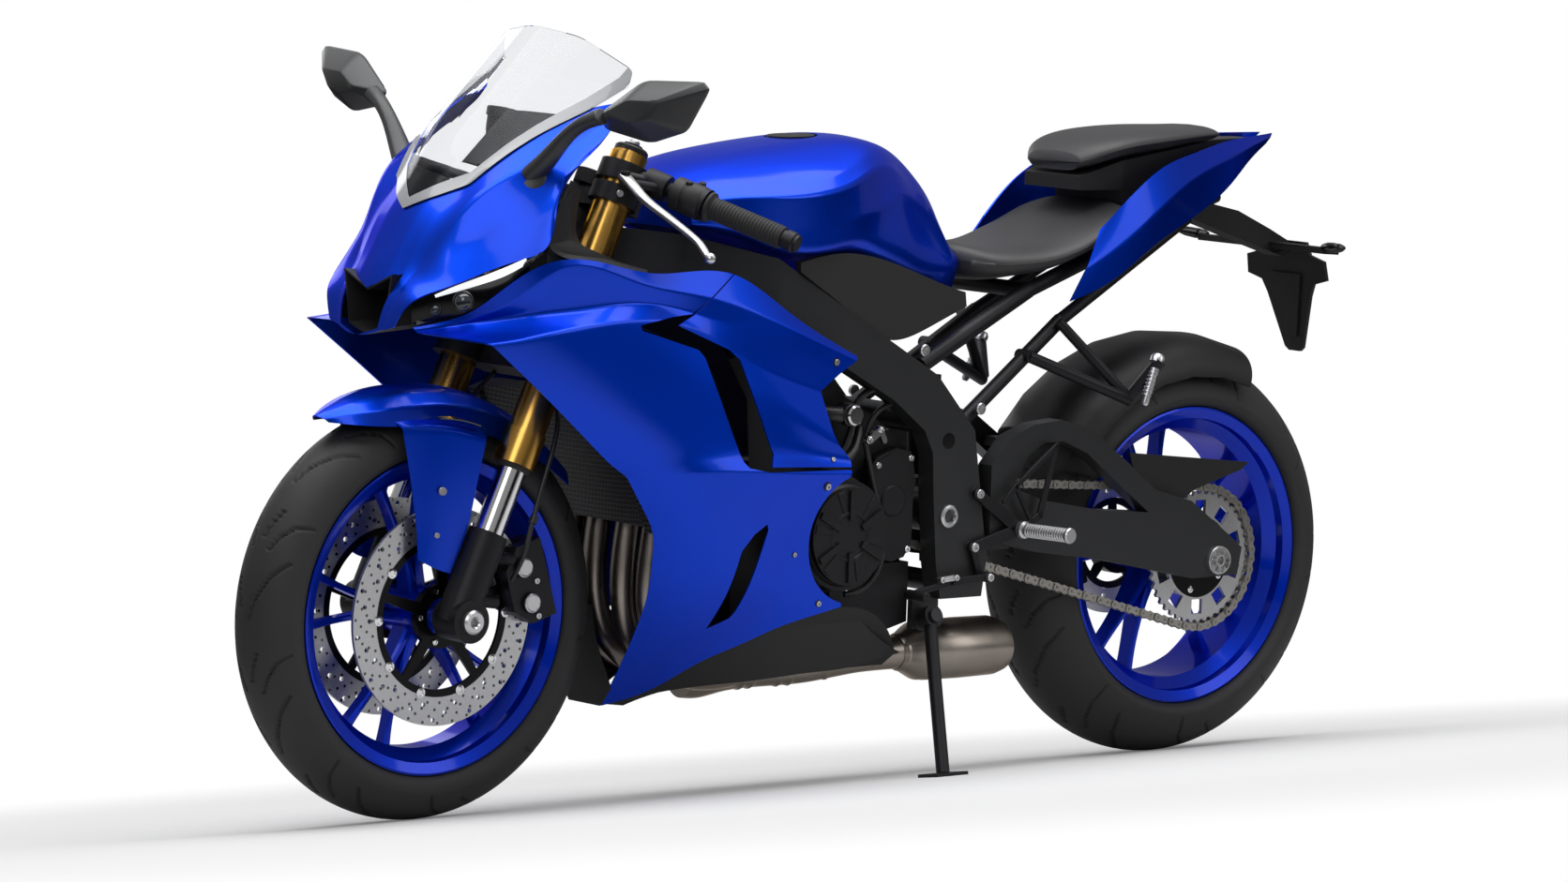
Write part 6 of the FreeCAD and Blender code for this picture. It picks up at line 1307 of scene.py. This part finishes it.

# Dark panels. The belly panel closes the fairing below with straight edges, a black insert closes it
# ahead between its tips, and near-black liners stand behind the two vents of each side as painted shade in
# them.
BELLY_SIDE = [
    [(386, 30, 152), (350, 68, 172), (300, 126, 222), (247, 154, 246), (194, 172, 270), (130, 180, 290),
     (79, 181, 294), (10, 174, 253), (-58, 166, 213)],
    [(384, 14, 146), (345, 56, 160), (300, 90, 172), (240, 122, 180), (180, 144, 186), (110, 156, 192),
     (38, 161, 196), (-10, 162, 204), (-57, 162, 211)],
    [(380, 4, 150), (343, 30, 164), (300, 50, 178), (240, 76, 188), (180, 96, 194), (110, 110, 200),
     (38, 118, 204), (-10, 122, 210), (-55, 124, 216)],
]
INNER_PANEL = [
    [(612, 193, 928), (640, 196, 880), (652, 196, 838), (600, 198, 812), (545, 200, 800), (480, 204, 792)],
    [(590, 176, 924), (606, 176, 880), (606, 178, 842), (565, 182, 822), (520, 188, 808), (470, 196, 796)],
    [(560, 150, 908), (566, 148, 872), (560, 146, 840), (530, 150, 818), (495, 158, 806), (460, 170, 796)],
]
PANEL_THICK = 2.0
CHIN = [(-36, 147), (36, 147), (60, 176), (24, 236), (10, 292), (-112, 292), (-106, 246)]
CHIN_SPAN = (401.0, 404.0)
UPPER_LINER = [(232, 496), (300, 492), (404, 600), (520, 712), (520, 742), (396, 752),
               (330, 742), (240, 600)]
LOWER_LINER = [(240, 436), (290, 424), (314, 380), (326, 268), (276, 280), (236, 420)]
UPPER_LINER_Y, LOWER_LINER_Y = (150.0, 152.0), (146.0, 148.0)
piece("belly_side_panels", walled(skin_grid(BELLY_SIDE, [0, 0, 0], 60, 10), PANEL_THICK), "black_plastic",
      twin=True, crease=30)
piece("chin_insert", prism(CHIN, *CHIN_SPAN, axis=0), "black_plastic", edge=0.6)
piece("nose_inner_panels", walled(skin_grid(INNER_PANEL, [0, 0.3, 0], 50, 8), PANEL_THICK), "black_plastic",
      twin=True, crease=30)
# Painted shade: near-black sheets behind the vent openings.
piece("vent_shade_liners", joined([prism(UPPER_LINER, *UPPER_LINER_Y), prism(LOWER_LINER, *LOWER_LINER_Y)]),
      "black_plastic", LAMP_AND_SHADE_BLACK, twin=True)

# Passenger pegs. A slim bright peg hangs folded from its bracket each side, below the seat, with a row
# of ribs along its stem.
PEG_TOP, PEG_FOOT, PEG_RIBS = np.array([-530.0, 200.0, 640.0]), np.array([-500.0, 204.0, 566.0]), 9
PEG_STEM = [(0.3, 0), (8, 0), (11, 5), (11, 12), (7, 16), (7.5, 30), (6, 34), (7, 60), (5.5, 64), (6, 78),
            (4, 82), (0.3, 82)]
down = unit(PEG_FOOT - PEG_TOP)
stem = [turned(PEG_STEM, PEG_TOP - 4 * down, down, 20)]
stem += [turned(drum(8.2, -9, -7.5, 0.3), PEG_TOP + (22 + 6 * k) * down, down, 12) for k in range(PEG_RIBS)]
piece("passenger_peg_rubbers", joined(stem), "aluminium", twin=True)

# Plate bracket. A tapered arm behind the tail carries a leaning plate with a broad head and a narrow foot,
# and an indicator with a smoked lens on a flat stalk each side.
PLATE_ARM = [(-740, 867), (-740, 838), (-868, 797), (-960, 768), (-980, 776), (-972, 792), (-930, 812),
             (-860, 842)]
PLATE_EDGE = [(50, 792), (56, 772), (86, 764), (88, 734), (58, 726), (48, 706), (20, 622), (12, 616)]
PLATE_RIB = [(-34, 740), (34, 740), (12, 640), (-12, 640)]
PLATE_TOP, PLATE_SLOPE = 790.0, 0.19
PLATE_STALK = [(-930, 782), (-930, 792), (-962, 790), (-962, 780)]
INDICATOR = [(0.3, 0), (8, 0), (12, 6), (13.5, 18), (12, 36), (7, 50), (0.3, 55)]
SMOKED = [(0.3, 0), (9.5, 0), (11.5, 12), (10.5, 26), (6, 38), (0.3, 41)]


def leaning(shape):
    """A front prism moved back in proportion to its distance below the plate's top."""
    points, faces = shape
    points[:, 0] += (points[:, 2] - PLATE_TOP) * PLATE_SLOPE
    return points, faces


def indicator(profile, x, y, z, side, share):
    """A bulb pointing outward from one side, pressed flat in height to a share."""
    points, faces = turned(profile, (x, side * y, z), (0.35, side, 0.18), 32)
    points[:, 2] = z + (points[:, 2] - z) * share
    return points, faces


bracket = [prism(PLATE_ARM, -20, 20), leaning(prism(whole_outline(PLATE_EDGE), -986, -980, axis=0)),
           leaning(prism(PLATE_RIB, -980.5, -976, axis=0))]
bracket += [prism(PLATE_STALK, *span) for span in ((18, 142), (-142, -18))]
bracket += [indicator(INDICATOR, -944, 136, 790, side, 0.6) for side in BOTH]
piece("plate_bracket_body", joined(bracket), "black_plastic", instead_of=["plate_bracket"], edge=0.8)
piece("indicator_lenses", joined([indicator(SMOKED, -932, 144, 793, side, 0.62) for side in BOTH]), "lamp",
      LENS_BLACK)
